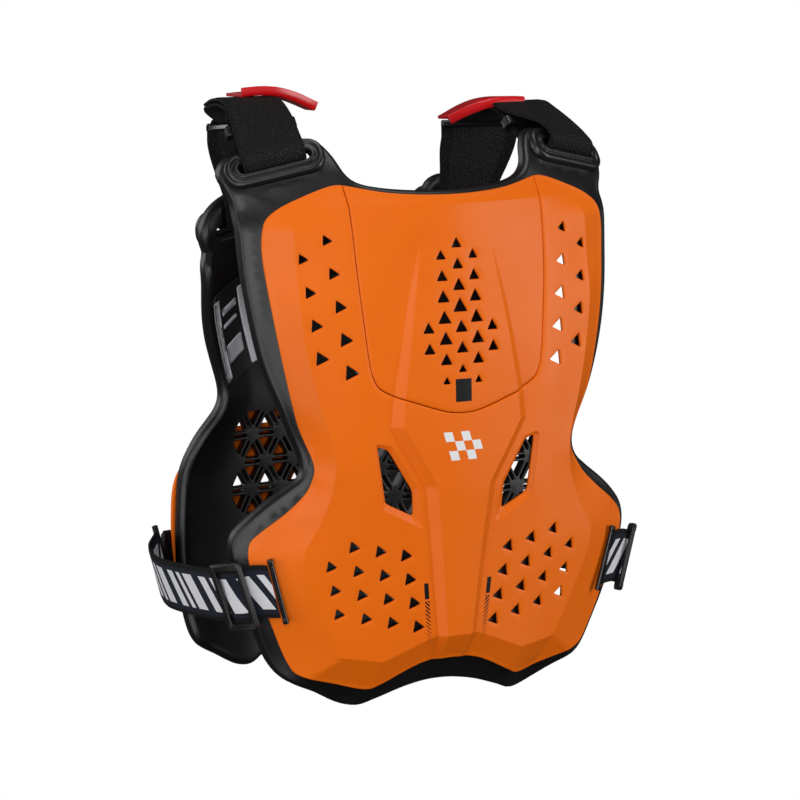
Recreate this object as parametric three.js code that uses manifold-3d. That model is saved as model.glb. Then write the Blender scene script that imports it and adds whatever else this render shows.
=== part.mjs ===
// Roost deflector: a chest plate and a back plate on foam liners, held by shoulder and waist straps.
// Millimetres, +Z up. The wearer faces -Y. The origin is where the shoulder straps rest.
import * as THREE from 'three';
import { mergeVertices } from 'three/addons/utils/BufferGeometryUtils.js';
import Module from 'manifold-3d';

const wasm = await Module();
wasm.setup();

// Chest plate
const SHELL_WIDTH = 332;
const SHELL_HEIGHT = 400;
const SHELL_BOW = 60;
const SHELL_WALL = 3;
const FRONT_REACH = 130;
const FRONT_DROP = 50;
const RIDGE_RISE = 4.5;
const SEAM_GAP = 0.4;

// Back plate
const BACK_WIDTH = 296;
const BACK_HEIGHT = 350;
const BACK_BOW = 75;
const BACK_REACH = 138;
const BACK_DROP = 106;

// Foam liners
const RIM_OVERHANG = 9;
const RIM_SETBACK = 12;
const FOAM_MIDDLE = 10;
const FOAM_EDGE = 16;
const FRONT_LOBE_RISE = 34;
const FRONT_FOAM_DROP = 16;
const BACK_RIM_OVERHANG = -3;
const BACK_LOBE_RISE = 44;
const BACK_FOAM_DROP = 12;
const CELL_PITCH = 17;
const CELL_ROW = 30;
const CELL_SIDE = 15;

// Vents
const UPPER_VENT = { pitch: 25.5, drift: 3.3, side: 8, growth: 0.9, turn: 22 };
const CENTRE_VENT = { pitch: 16.2, column: 14, side: 11.5 };
const LOWER_VENT = { pitch: 21.5, row: 19.5, drift: 4, lift: 4.7, side: 10, shrink: 0.4, turn: 17 };
const BACK_VENT_SIDE = 12;
const BACK_VENT_ROWS = [0.16, 0.31, 0.46, 0.61, 0.76];
const BACK_VENT_COLUMNS = [0.12, 0.32, 0.52];

// Slot rings on the lobes. Places are shares of half a plate's width, behinds are shares of its bow,
// and rises are measured from its top.
const RING_LENGTH = 80;
const RING_HEIGHT = 30;
const RING_THICKNESS = 5;
const SLOT_LENGTH = 57;
const SLOT_HEIGHT = 9;
const FRONT_RING_PLACE = 0.771;
const FRONT_RING_BEHIND = 1.217;
const FRONT_RING_RISE = 15;
const BACK_RING_PLACE = 0.6825;
const BACK_RING_BEHIND = 0.8535;
const BACK_RING_RISE = 13;
const FRONT_RING = {
  out: (FRONT_RING_PLACE * SHELL_WIDTH) / 2,
  forward: FRONT_REACH - FRONT_RING_BEHIND * SHELL_BOW,
  drop: FRONT_DROP - FRONT_RING_RISE,
  yaw: 0.31,
  tilt: 0.233,
  lean: 38,
  facing: -1,
};
const BACK_RING = {
  out: (BACK_RING_PLACE * BACK_WIDTH) / 2,
  forward: BACK_RING_BEHIND * BACK_BOW - BACK_REACH,
  drop: BACK_DROP - BACK_RING_RISE,
  yaw: -0.25,
  tilt: 0.2,
  lean: -8,
  facing: 1,
};

// Shoulder straps
const STRAP_WIDTH = 50;
const STRAP_THICKNESS = 3;
const CREST_INSET = 6;
const CREST_OUT = FRONT_RING.out - CREST_INSET;
const CREST_BEHIND = 49;
const CREST_FRONT = CREST_BEHIND - FRONT_RING.forward;
const CREST_BACK = 34;
const CREST_FALL = 6;
const CREST_LIFT = 6;
const BACK_STRAP_WIDTH = 60;
const BACK_STRAP_THICKNESS = 3;
const BACK_STRAP_TAPER = 0.35;
const CREST_LAYER_GAP = 1;
const BAR_OUTSET = 8;
const BAR_OUT = BACK_RING.out + BAR_OUTSET;
const BAR_BACK = 50;
const BAR_DROP = 17;
const BAR_LIFT = 3.4;
const BAR_HEIGHT = 7;
const BAR_THICKNESS = 5;
const BAR_ROUNDING = 2.2;
const LOOP_WALL = 2.5;
const LOOP_LENGTH = 9;
const LOOP_CLEARANCE = 1.3;
const LOOP_PLACE = 0.62;
const TAB_LENGTH = 64;
const TAB_WIDTH = 30;
const TAB_THICKNESS = 2.5;
const TAB_ARCH = 7;
const TAB_OUTSET = 8;

// Waist straps
const WAIST_WIDTH = 44;
const WAIST_THICKNESS = 2.5;
const WAIST_PLACE = 0.7825;
const WAIST_DROP = FRONT_DROP + WAIST_PLACE * SHELL_HEIGHT;
const WAIST_OUTSET = 10;
const WAIST_BULGE = SHELL_WIDTH / 2 + RIM_OVERHANG + WAIST_OUTSET;
const WAIST_SAG = 14;
const WAIST_LEAN = 0.27;
const FRONT_ROD_INSET = 19.5;
const FRONT_ROD_OUT = SHELL_WIDTH / 2 - FRONT_ROD_INSET;
const BACK_ROD_OUTSET = 12;
const BACK_ROD_OUT = BACK_WIDTH / 2 + BACK_ROD_OUTSET;
const BACK_ROD_BEHIND = 0.587;
const BACK_ROD_BACK = BACK_REACH - BACK_ROD_BEHIND * BACK_BOW;
const BACK_ROD_SAG = 0.4;
const ROD_DIAMETER = 5;
const ROD_LENGTH = 54;
const HOOK_LENGTH = 26;
const HOOK_HEIGHT = 36;
const HOOK_THICKNESS = 3;
const SLIDER_HEIGHT = 56;
const SLIDER_WIDTH = 32;
const SLIDER_BAR = 5;
const SLIDER_THICKNESS = 4;
const SLIDER_PLACE = 0.27;

// Flap inside the back liner
const TONGUE_THICKNESS = 1.5;
const RELEASE_DIAMETER = 22;
const RELEASE_THICKNESS = 2;

// Clearance between pieces that touch
const GAP = 0.4;

// Stations along each ribbon
const SHOULDER_STATIONS = 42;
const BACK_STATIONS = 16;
const WAIST_STATIONS = 20;
const TAB_STATIONS = 10;
const FINE_STATIONS = 400;

const SIDES = [
  { name: 'left', sign: -1, lift: CREST_LIFT },
  { name: 'right', sign: 1, lift: -CREST_LIFT },
];

const FRONT_TOP_Z = -FRONT_DROP;
const BACK_TOP_Z = -BACK_DROP;

// Sections of the chest plate from its top to its tips. Halves are shares of half its width,
// the others are how far the face lies behind its foremost line, as shares of its bow.
const FRONT_SECTIONS = [
  { down: 0.0, centre: 0.45, midX: 0.505, mid: 0.7, edgeX: 0.7, edge: 0.87, sideX: 1.0, side: 1.16 },
  { down: 0.04, centre: 0.28, midX: 0.51, mid: 0.52, edgeX: 0.71, edge: 0.72, sideX: 0.85, side: 0.87 },
  { down: 0.085, centre: 0.23, midX: 0.505, mid: 0.44, edgeX: 0.775, edge: 0.63, sideX: 0.905, side: 0.83 },
  { down: 0.15, centre: 0.19, midX: 0.5, mid: 0.36, edgeX: 0.775, edge: 0.575, sideX: 0.9, side: 0.78 },
  { down: 0.235, centre: 0.14, midX: 0.48, mid: 0.275, edgeX: 0.77, edge: 0.45, sideX: 0.88, side: 0.68 },
  { down: 0.325, centre: 0.09, midX: 0.465, mid: 0.21, edgeX: 0.745, edge: 0.4, sideX: 0.84, side: 0.6 },
  { down: 0.41, centre: 0.09, midX: 0.46, mid: 0.17, edgeX: 0.7, edge: 0.33, sideX: 0.795, side: 0.57 },
  { down: 0.54, centre: 0.065, midX: 0.42, mid: 0.15, edgeX: 0.625, edge: 0.25, sideX: 0.683, side: 0.54 },
  { down: 0.59, centre: 0.065, midX: 0.42, mid: 0.15, edgeX: 0.64, edge: 0.28, sideX: 0.74, side: 0.5 },
  { down: 0.65, centre: 0.09, midX: 0.435, mid: 0.17, edgeX: 0.69, edge: 0.325, sideX: 0.9, side: 0.58 },
  { down: 0.717, centre: 0.115, midX: 0.45, mid: 0.2, edgeX: 0.77, edge: 0.38, sideX: 1.0, side: 0.69 },
  { down: 0.85, centre: 0.15, midX: 0.39, mid: 0.25, edgeX: 0.66, edge: 0.4, sideX: 0.895, side: 0.68 },
  { down: 0.895, centre: 0.17, midX: 0.375, mid: 0.26, edgeX: 0.6, edge: 0.4, sideX: 0.84, side: 0.68 },
  { down: 0.935, centre: 0.32, midX: 0.375, mid: 0.3, edgeX: 0.56, edge: 0.425, sideX: 0.8, side: 0.7 },
  { down: 1.0, centre: 0.67, midX: 0.39, mid: 0.55, edgeX: 0.57, edge: 0.7, sideX: 0.72, side: 0.87 },
];

// The raised ridge: its foot and its flat top as shares of half the width, its height of the rise.
const RIDGE_SECTIONS = [
  { down: 0.11, footX: 0.19, crestX: 0.18, rise: 0.0 },
  { down: 0.235, footX: 0.265, crestX: 0.235, rise: 0.45 },
  { down: 0.41, footX: 0.345, crestX: 0.3, rise: 0.9 },
  { down: 0.468, footX: 0.36, crestX: 0.31, rise: 1.0 },
  { down: 0.59, footX: 0.187, crestX: 0.137, rise: 1.0 },
  { down: 0.717, footX: 0.148, crestX: 0.103, rise: 1.0 },
  { down: 0.895, footX: 0.1, crestX: 0.063, rise: 0.9 },
  { down: 1.0, footX: 0.08, crestX: 0.05, rise: 0.2 },
];

// Sections of the back plate, in the same columns.
const BACK_SECTIONS = [
  { down: -0.09, centre: 0.83, midX: 0.4, mid: 0.84, edgeX: 0.64, edge: 0.86, sideX: 0.8, side: 0.93 },
  { down: 0.0, centre: 0.64, midX: 0.4, mid: 0.65, edgeX: 0.66, edge: 0.77, sideX: 0.9, side: 0.89 },
  { down: 0.08, centre: 0.48, midX: 0.4, mid: 0.52, edgeX: 0.66, edge: 0.64, sideX: 0.83, side: 0.8 },
  { down: 0.18, centre: 0.3, midX: 0.38, mid: 0.34, edgeX: 0.64, edge: 0.44, sideX: 0.8, side: 0.62 },
  { down: 0.29, centre: 0.15, midX: 0.34, mid: 0.18, edgeX: 0.58, edge: 0.28, sideX: 0.71, side: 0.43 },
  { down: 0.385, centre: 0.05, midX: 0.32, mid: 0.09, edgeX: 0.53, edge: 0.19, sideX: 0.63, side: 0.32 },
  { down: 0.49, centre: 0.01, midX: 0.36, mid: 0.05, edgeX: 0.61, edge: 0.17, sideX: 0.82, side: 0.36 },
  { down: 0.59, centre: 0.0, midX: 0.4, mid: 0.05, edgeX: 0.71, edge: 0.19, sideX: 0.98, side: 0.42 },
  { down: 0.72, centre: 0.03, midX: 0.42, mid: 0.08, edgeX: 0.73, edge: 0.21, sideX: 1.0, side: 0.44 },
  { down: 0.86, centre: 0.08, midX: 0.38, mid: 0.13, edgeX: 0.67, edge: 0.27, sideX: 0.95, side: 0.5 },
  { down: 1.0, centre: 0.2, midX: 0.34, mid: 0.24, edgeX: 0.55, edge: 0.36, sideX: 0.84, side: 0.6 },
];

// Half outlines, from the middle of the top edge round to the middle of the bottom edge.
const SHELL_OUTLINE = [
  { half: 0.0, down: 0.022 }, { half: 0.3, down: 0.016 }, { half: 0.51, down: 0.0 },
  { half: 0.55, down: 0.0 }, { half: 0.7, down: 0.02 }, { half: 0.83, down: 0.045 },
  { half: 0.885, down: 0.066 }, { half: 0.905, down: 0.1 }, { half: 0.895, down: 0.18 },
  { half: 0.85, down: 0.31 }, { half: 0.775, down: 0.445 }, { half: 0.69, down: 0.535 },
  { half: 0.69, down: 0.553 }, { half: 0.735, down: 0.59 }, { half: 0.82, down: 0.625 },
  { half: 0.95, down: 0.668 }, { half: 0.995, down: 0.69 }, { half: 1.0, down: 0.725 },
  { half: 0.888, down: 0.855 }, { half: 0.8, down: 0.937 }, { half: 0.765, down: 0.956 },
  { half: 0.585, down: 0.982 }, { half: 0.4, down: 1.0 }, { half: 0.345, down: 0.99 },
  { half: 0.155, down: 0.953 }, { half: 0.0, down: 0.945 },
];
const SEAM_OUTLINE = [
  { half: 0.0, down: -0.05 }, { half: 0.51, down: -0.05 }, { half: 0.512, down: 0.04 },
  { half: 0.497, down: 0.165 }, { half: 0.48, down: 0.25 }, { half: 0.46, down: 0.335 },
  { half: 0.445, down: 0.367 }, { half: 0.42, down: 0.388 }, { half: 0.36, down: 0.404 },
  { half: 0.255, down: 0.42 }, { half: 0.08, down: 0.443 }, { half: 0.0, down: 0.446 },
];
const FRONT_FOAM_OUTLINE = [
  { half: 0.0, down: 0.09 }, { half: 0.3, down: 0.083 }, { half: 0.41, down: 0.072 },
  { half: 0.45, down: 0.058 }, { half: 0.485, down: 0.026 }, { half: 0.525, down: 0.006 },
  { half: 0.58, down: 0.0 }, { half: 0.86, down: 0.024 }, { half: 0.935, down: 0.04 },
  { half: 0.963, down: 0.06 }, { half: 0.95, down: 0.083 }, { half: 0.93, down: 0.108 },
  { half: 0.93, down: 0.14 }, { half: 0.91, down: 0.26 }, { half: 0.855, down: 0.38 },
  { half: 0.76, down: 0.48 }, { half: 0.69, down: 0.55 }, { half: 0.695, down: 0.576 },
  { half: 0.755, down: 0.597 }, { half: 0.85, down: 0.624 }, { half: 0.94, down: 0.655 },
  { half: 0.99, down: 0.68 }, { half: 1.0, down: 0.71 }, { half: 0.9, down: 0.835 },
  { half: 0.81, down: 0.914 }, { half: 0.75, down: 0.94 }, { half: 0.61, down: 0.967 },
  { half: 0.47, down: 0.995 }, { half: 0.39, down: 1.0 }, { half: 0.31, down: 0.988 },
  { half: 0.165, down: 0.97 }, { half: 0.0, down: 0.963 },
];
const BACK_OUTLINE = [
  { half: 0.0, down: 0.02 }, { half: 0.4, down: 0.0 }, { half: 0.64, down: 0.03 },
  { half: 0.76, down: 0.08 }, { half: 0.79, down: 0.15 }, { half: 0.74, down: 0.26 },
  { half: 0.63, down: 0.385 }, { half: 0.66, down: 0.44 }, { half: 0.84, down: 0.51 },
  { half: 0.97, down: 0.575 }, { half: 1.0, down: 0.67 }, { half: 0.96, down: 0.84 },
  { half: 0.86, down: 0.94 }, { half: 0.64, down: 0.985 }, { half: 0.42, down: 1.0 },
  { half: 0.17, down: 0.975 }, { half: 0.0, down: 0.97 },
];
const BACK_FOAM_OUTLINE = [
  { half: 0.0, down: 0.055 }, { half: 0.35, down: 0.047 }, { half: 0.455, down: 0.035 },
  { half: 0.5, down: 0.012 }, { half: 0.58, down: 0.0 }, { half: 0.83, down: 0.022 },
  { half: 0.94, down: 0.052 }, { half: 0.985, down: 0.088 }, { half: 0.97, down: 0.118 },
  { half: 0.95, down: 0.13 }, { half: 0.975, down: 0.155 }, { half: 0.96, down: 0.2 },
  { half: 0.88, down: 0.31 }, { half: 0.76, down: 0.425 }, { half: 0.78, down: 0.455 },
  { half: 0.9, down: 0.51 }, { half: 0.97, down: 0.56 }, { half: 1.0, down: 0.63 },
  { half: 1.0, down: 0.88 }, { half: 0.95, down: 0.93 }, { half: 0.8, down: 0.965 },
  { half: 0.64, down: 0.995 }, { half: 0.54, down: 1.0 }, { half: 0.42, down: 0.98 },
  { half: 0.17, down: 0.96 }, { half: 0.0, down: 0.955 },
];
const WINDOW_OUTLINE = [
  { half: 0.42, down: 0.505 }, { half: 0.38, down: 0.618 }, { half: 0.235, down: 0.648 },
  { half: 0.243, down: 0.597 }, { half: 0.365, down: 0.513 },
];

const TONGUE_OUTLINE = [
  { half: -0.85, down: 0.126 }, { half: -0.7, down: 0.354 },
  { half: -0.43, down: 0.303 }, { half: -0.595, down: 0.08 },
];
const RELEASE_PLACE = { half: -0.47, down: 0.114 };

// The shoulder strap over the crest, from its free end forward: backs are shares of the way from the
// crest's front to its back, ups are shares of how far it falls.
const CREST_SECTIONS = [
  { back: 1.0, up: -1.0 }, { back: 0.667, up: -0.17 }, { back: 0.333, up: 0.0 }, { back: 0.0, up: -0.58 },
];
const CREST_PATH = CREST_SECTIONS.map(({ back, up }) => ({
  back: THREE.MathUtils.lerp(CREST_FRONT, CREST_BACK, back),
  up: up * CREST_FALL,
}));

// The pull tab from its outer end to its drooping inner end
const TAB_SECTIONS = [
  { along: 0.0, rise: 0.0 }, { along: 0.16, rise: 0.65 }, { along: 0.3, rise: 1.0 },
  { along: 0.48, rise: 0.8 }, { along: 0.72, rise: 0.1 }, { along: 1.0, rise: -1.1 },
];

// The waist strap from the chest plate to the back plate: outs are shares of its bulge, behinds are
// shares of a plate's bow behind that plate's foremost line, sags are shares of its sag.
const WAIST_FRONT_SECTIONS = [
  { out: 0.87, behind: 0.628, sag: 0.0 }, { out: 0.93, behind: 0.769, sag: 0.25 },
  { out: 0.962, behind: 1.257, sag: 0.55 }, { out: 0.984, behind: 1.7, sag: 0.7 },
];
const WAIST_BACK_SECTIONS = [
  { out: 1.0, behind: 1.7, sag: 0.9 }, { out: 0.99, behind: 1.25, sag: 1.0 },
  { out: 0.945, behind: 0.847, sag: 0.8 },
];

// The value of one column of a table at a share down the panel, on straight lines between its rows
function columnAt(rows, column, down) {
  const last = rows.length - 1;
  const next = rows.findIndex((row) => row.down > down);
  const high = next < 0 ? last : Math.max(next, 1);
  const below = rows[high];
  const above = rows[high - 1];
  const part = THREE.MathUtils.clamp((down - above.down) / (below.down - above.down), 0, 1);
  return THREE.MathUtils.lerp(above[column], below[column], part);
}

// A value on straight lines through [place, value] pairs, carried on past the last pair
function valueOn(pairs, place) {
  const found = pairs.findIndex((pair) => pair[0] >= place);
  const high = found < 0 ? pairs.length - 1 : Math.max(found, 1);
  const [x0, y0] = pairs[high - 1];
  const [x1, y1] = pairs[high];
  return y0 + ((place - x0) / (x1 - x0)) * (y1 - y0);
}

// The place and directions of a slot ring on one side: along the slot, up its slope and out of its face
function ringFrame(ring, sign) {
  const along = new THREE.Vector3(1, ring.yaw, -ring.tilt).normalize();
  const lean = THREE.MathUtils.degToRad(ring.lean);
  const rise = new THREE.Vector3(0, Math.sin(lean), Math.cos(lean));
  rise.addScaledVector(along, -rise.dot(along)).normalize();
  const out = new THREE.Vector3().crossVectors(along, rise).multiplyScalar(-ring.facing);
  const centre = new THREE.Vector3(ring.out, -ring.forward, -ring.drop);
  const mirror = new THREE.Vector3(sign, 1, 1);
  return {
    along: along.multiply(mirror),
    rise: rise.multiply(mirror),
    out: out.multiply(mirror),
    centre: centre.multiply(mirror),
  };
}

// A point of a ring's own frame, in the part's frame
function ringPoint(frame, along, rise, out) {
  return frame.centre
    .clone()
    .addScaledVector(frame.along, along)
    .addScaledVector(frame.rise, rise)
    .addScaledVector(frame.out, out);
}

// The flat face that a ring lies on, as a depth at (x, z)
function lobePlane(ring) {
  const { out, centre } = ringFrame(ring, 1);
  return (x, z) => centre.y - (out.x * (Math.abs(x) - centre.x) + out.z * (z - centre.z)) / out.y;
}

// A panel holds its outer face as a depth at (x, z), and the lines that its mesh follows
function makePanel({ sections, ridge, width, height, bow, topZ, reach, facing, overhang }) {
  const halfWidth = width / 2;
  const depthOf = (share) => facing * (reach - share * bow);
  const downAt = (z) => (topZ - z) / height;
  const baseColumns = (down) => {
    const at = (column) => columnAt(sections, column, down);
    const side = at('sideX') * halfWidth;
    const sideDepth = depthOf(at('side'));
    return [
      [0, depthOf(at('centre'))],
      [at('midX') * halfWidth, depthOf(at('mid'))],
      [at('edgeX') * halfWidth, depthOf(at('edge'))],
      [side, sideDepth],
      [side + Math.max(overhang, RIM_SETBACK), sideDepth - facing * RIM_SETBACK],
    ];
  };
  const ridgeColumns = (down) => {
    const at = (column) => columnAt(ridge, column, down);
    const rise = at('rise') * RIDGE_RISE * facing;
    return [[0, rise], [at('crestX') * halfWidth, rise], [at('footX') * halfWidth, 0], [width, 0]];
  };
  const base = (x, z) => valueOn(baseColumns(downAt(z)), Math.abs(x));
  const face = (x, z) => base(x, z) + (ridge ? valueOn(ridgeColumns(downAt(z)), Math.abs(x)) : 0);
  const linesAt = (z) => {
    const lines = baseColumns(downAt(z)).map((pair) => pair[0]);
    const inner = ridge ? ridgeColumns(downAt(z)).slice(1, 3).map((pair) => pair[0]) : [];
    return [...lines, ...inner, lines.at(-1) + RIM_SETBACK + RIM_OVERHANG].sort((a, b) => a - b);
  };
  const edgeLinesAt = (z) => baseColumns(downAt(z)).slice(2, 4).map((pair) => pair[0]);
  const downs = [...sections, ...(ridge ?? [])].map((row) => row.down);
  return { base, face, linesAt, edgeLinesAt, downs, topZ, height, halfWidth, facing };
}

const frontPanel = makePanel({
  sections: FRONT_SECTIONS,
  ridge: RIDGE_SECTIONS,
  width: SHELL_WIDTH,
  height: SHELL_HEIGHT,
  bow: SHELL_BOW,
  topZ: FRONT_TOP_Z,
  reach: FRONT_REACH,
  facing: -1,
  overhang: RIM_OVERHANG,
});
const backPanel = makePanel({
  sections: BACK_SECTIONS,
  width: BACK_WIDTH,
  height: BACK_HEIGHT,
  bow: BACK_BOW,
  topZ: BACK_TOP_Z,
  reach: BACK_REACH,
  facing: 1,
  overhang: RIM_OVERHANG,
});

function solidOf(geometry) {
  const bare = geometry.index ? geometry : mergeable(geometry);
  const position = bare.attributes.position.array;
  const mesh = new wasm.Mesh({
    numProp: 3,
    vertProperties: new Float32Array(position),
    triVerts: new Uint32Array(bare.index.array),
  });
  return new wasm.Manifold(mesh);
}

function mergeable(geometry) {
  const bare = geometry.clone();
  bare.deleteAttribute('normal');
  bare.deleteAttribute('uv');
  return mergeVertices(bare, 1e-4);
}

function geometryOf(solid) {
  const { vertProperties, triVerts } = solid.getMesh();
  const geometry = new THREE.BufferGeometry();
  geometry.setAttribute('position', new THREE.BufferAttribute(new Float32Array(vertProperties), 3));
  geometry.setIndex(new THREE.BufferAttribute(new Uint32Array(triVerts), 1));
  return geometry;
}

// A closed solid between rings of points, each ring with as many points as the next
function skinned(rings) {
  const count = rings[0].length;
  const positions = rings.flat().flatMap((point) => [point.x, point.y, point.z]);
  const faces = [];
  for (let ring = 0; ring < rings.length - 1; ring += 1) {
    for (let i = 0; i < count; i += 1) {
      const a = ring * count + i;
      const b = ring * count + ((i + 1) % count);
      faces.push(a, b, b + count, a, b + count, a + count);
    }
  }
  const end = (rings.length - 1) * count;
  for (let i = 1; i < count - 1; i += 1) {
    faces.push(0, i + 1, i, end, end + i, end + i + 1);
  }
  const geometry = new THREE.BufferGeometry();
  geometry.setAttribute('position', new THREE.BufferAttribute(new Float32Array(positions), 3));
  geometry.setIndex(faces);
  return geometry;
}

// A wall between two depths at (x, z), over the panel's mesh lines at the given heights
function wallBetween(linesAt, heights, front, back) {
  const rows = heights.map((z) => {
    const lines = linesAt(z);
    return [...lines.slice(1).reverse().map((x) => -x), ...lines].map((x) => ({ x, z }));
  });
  const columns = rows[0].length;
  const grid = (depth) => rows.flat().flatMap(({ x, z }) => [x, depth(x, z), z]);
  const positions = [...grid(front), ...grid(back)];
  const behind = rows.length * columns;
  const faces = [];
  const quad = (a, b, c, d, swap) => {
    if (swap) faces.push(a, b, d, b, c, d);
    else faces.push(a, b, c, a, c, d);
  };
  for (let row = 0; row < rows.length - 1; row += 1) {
    for (let column = 0; column < columns - 1; column += 1) {
      const a = row * columns + column;
      const swap = column < (columns - 1) / 2;
      quad(a, a + columns, a + columns + 1, a + 1, swap);
      quad(behind + a + 1, behind + a + columns + 1, behind + a + columns, behind + a, !swap);
    }
  }
  for (let row = 0; row < rows.length - 1; row += 1) {
    const left = row * columns;
    const right = left + columns - 1;
    quad(left, behind + left, behind + left + columns, left + columns);
    quad(right, right + columns, behind + right + columns, behind + right);
  }
  const bottom = (rows.length - 1) * columns;
  for (let column = 0; column < columns - 1; column += 1) {
    const low = bottom + column;
    quad(column, column + 1, behind + column + 1, behind + column);
    quad(low, behind + low, behind + low + 1, low + 1);
  }
  const geometry = new THREE.BufferGeometry();
  geometry.setAttribute('position', new THREE.BufferAttribute(new Float32Array(positions), 3));
  geometry.setIndex(faces);
  return solidOf(geometry);
}

// A prism along Y with an outline in (x, z), long enough to pass through the whole part
function prism(points) {
  const shape = new THREE.Shape(points.map(([x, z]) => new THREE.Vector2(x, z)));
  const depth = 2 * (FRONT_REACH + BACK_REACH);
  const geometry = new THREE.ExtrudeGeometry(shape, { depth, bevelEnabled: false });
  geometry.rotateX(Math.PI / 2);
  geometry.translate(0, depth / 2, 0);
  return solidOf(geometry);
}

// Both halves of an outline whose halves and downs are shares of a width and a height
function outlinePoints(outline, halfWidth, topZ, height, inset = 0) {
  const shift = (half) => (half > 0 ? inset : 0);
  const right = outline.map(({ half, down }) => [half * halfWidth - shift(half), topZ - down * height]);
  const inner = right.filter(([x]) => x > 0).reverse();
  return [...right, ...inner.map(([x, z]) => [-x, z])];
}

// The corners of a triangle around (x, z), pointing up or down and turned by degrees
function triangle(x, z, side, up = 1, turn = 0) {
  const radius = side / Math.sqrt(3);
  return [210, 330, 90].map((corner) => {
    const angle = THREE.MathUtils.degToRad(corner * up + turn);
    return [x + radius * Math.cos(angle), z + radius * Math.sin(angle)];
  });
}

// Vent places on the chest plate as { x, z, side, turn }, with the upper and lower groups on both sides
function upperVents() {
  const vents = [];
  const columns = [{ count: 5, half: 0.627, down: 0.1025 }, { count: 4, half: 0.741, down: 0.1375 }];
  for (const { count, half, down } of columns) {
    for (let i = 0; i < count; i += 1) {
      vents.push({
        x: half * frontPanel.halfWidth - i * UPPER_VENT.drift,
        z: FRONT_TOP_Z - down * SHELL_HEIGHT - i * UPPER_VENT.pitch,
        side: UPPER_VENT.side + i * UPPER_VENT.growth,
        turn: UPPER_VENT.turn,
      });
    }
  }
  return vents;
}

function lowerVents() {
  const vents = [];
  const first = { half: 0.277, down: 0.725 };
  for (let row = 0; row < 4; row += 1) {
    const count = row === 0 ? 3 : 4;
    for (let i = 0; i < count; i += 1) {
      vents.push({
        x: first.half * frontPanel.halfWidth - row * LOWER_VENT.drift + i * LOWER_VENT.pitch,
        z: FRONT_TOP_Z - first.down * SHELL_HEIGHT - row * LOWER_VENT.row + i * LOWER_VENT.lift,
        side: LOWER_VENT.side - i * LOWER_VENT.shrink,
        turn: LOWER_VENT.turn,
      });
    }
  }
  return vents;
}

function centreVents() {
  const vents = [];
  const columns = [
    { count: 7, step: 0, down: 0.1175, shares: [0.8, 0.85, 0.95, 1.1, 0.95, 0.9, 0.65] },
    { count: 7, step: 1, down: 0.14, shares: [0.75, 0.85, 0.95, 1.0, 1.0, 0.9, 0.6] },
    { count: 2, step: 2, down: 0.28, shares: [0.85, 0.85] },
  ];
  for (const { count, step, down, shares } of columns) {
    for (let i = 0; i < count; i += 1) {
      const z = FRONT_TOP_Z - down * SHELL_HEIGHT - i * CENTRE_VENT.pitch;
      vents.push({ x: step * CENTRE_VENT.column, z, side: CENTRE_VENT.side * shares[i] });
    }
  }
  return vents;
}

// Prisms of all vents of a list, mirrored to the other side, turned outward
function ventCutters(vents) {
  return vents.flatMap(({ x, z, side, turn = 0 }) => {
    const signs = x === 0 ? [1] : [1, -1];
    return signs.map((sign) => prism(triangle(sign * x, z, side, 1, -sign * turn)));
  });
}

// The heights of a panel's mesh rows between two shares down it
function heightsOf(panel, from, to, extra = []) {
  const inside = panel.downs.filter((down) => down > from && down < to);
  const downs = [from, ...inside, ...extra, to].sort((a, b) => a - b);
  const distinct = downs.filter((down, i) => i === 0 || down - downs[i - 1] > 0.004);
  return distinct.map((down) => panel.topZ - down * panel.height);
}

function shellWall(panel) {
  const inward = -panel.facing * SHELL_WALL;
  const inner = (x, z) => panel.face(x, z) + inward;
  const heights = heightsOf(panel, -0.02, 1.01);
  const [front, back] = panel.facing < 0 ? [panel.face, inner] : [inner, panel.face];
  return wallBetween(panel.linesAt, heights, front, back);
}

const frontWall = shellWall(frontPanel).intersect(
  prism(outlinePoints(SHELL_OUTLINE, frontPanel.halfWidth, FRONT_TOP_Z, SHELL_HEIGHT)),
);

function frontShellGeometry() {
  const seam = prism(outlinePoints(SEAM_OUTLINE, frontPanel.halfWidth, FRONT_TOP_Z, SHELL_HEIGHT));
  const windows = [1, -1].map((sign) => {
    const points = WINDOW_OUTLINE.map(({ half, down }) => [
      sign * half * frontPanel.halfWidth,
      FRONT_TOP_Z - down * SHELL_HEIGHT,
    ]);
    return prism(sign > 0 ? points : points.reverse());
  });
  const cutters = [seam, ...windows, ...ventCutters([...upperVents(), ...lowerVents()])];
  return geometryOf(cutters.reduce((solid, cutter) => solid.subtract(cutter), frontWall));
}

function centrePanelGeometry() {
  const { halfWidth } = frontPanel;
  const inset = outlinePoints(SEAM_OUTLINE, halfWidth, FRONT_TOP_Z + SEAM_GAP, SHELL_HEIGHT, SEAM_GAP);
  const plate = frontWall.intersect(prism(inset));
  return geometryOf(ventCutters(centreVents()).reduce((solid, cutter) => solid.subtract(cutter), plate));
}

function backShellGeometry() {
  const outline = prism(outlinePoints(BACK_OUTLINE, backPanel.halfWidth, BACK_TOP_Z, BACK_HEIGHT));
  const vents = BACK_VENT_ROWS.flatMap((down) =>
    BACK_VENT_COLUMNS.map((half) => ({
      x: half * backPanel.halfWidth,
      z: BACK_TOP_Z - down * BACK_HEIGHT,
      side: BACK_VENT_SIDE,
    })),
  );
  const plate = shellWall(backPanel).intersect(outline);
  return geometryOf(ventCutters(vents).reduce((solid, cutter) => solid.subtract(cutter), plate));
}

// A through slot in the foam under a ring
function slotCutter(ring, sign) {
  const frame = ringFrame(ring, sign);
  const shape = racetrack(SLOT_LENGTH + 2 * GAP, SLOT_HEIGHT + 2 * GAP);
  const depth = 4 * FOAM_EDGE;
  const geometry = new THREE.ExtrudeGeometry(shape, { depth, bevelEnabled: false, curveSegments: 3 });
  geometry.translate(0, 0, -depth / 2);
  return solidOf(mergeable(placed(geometry, frame)));
}

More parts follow.
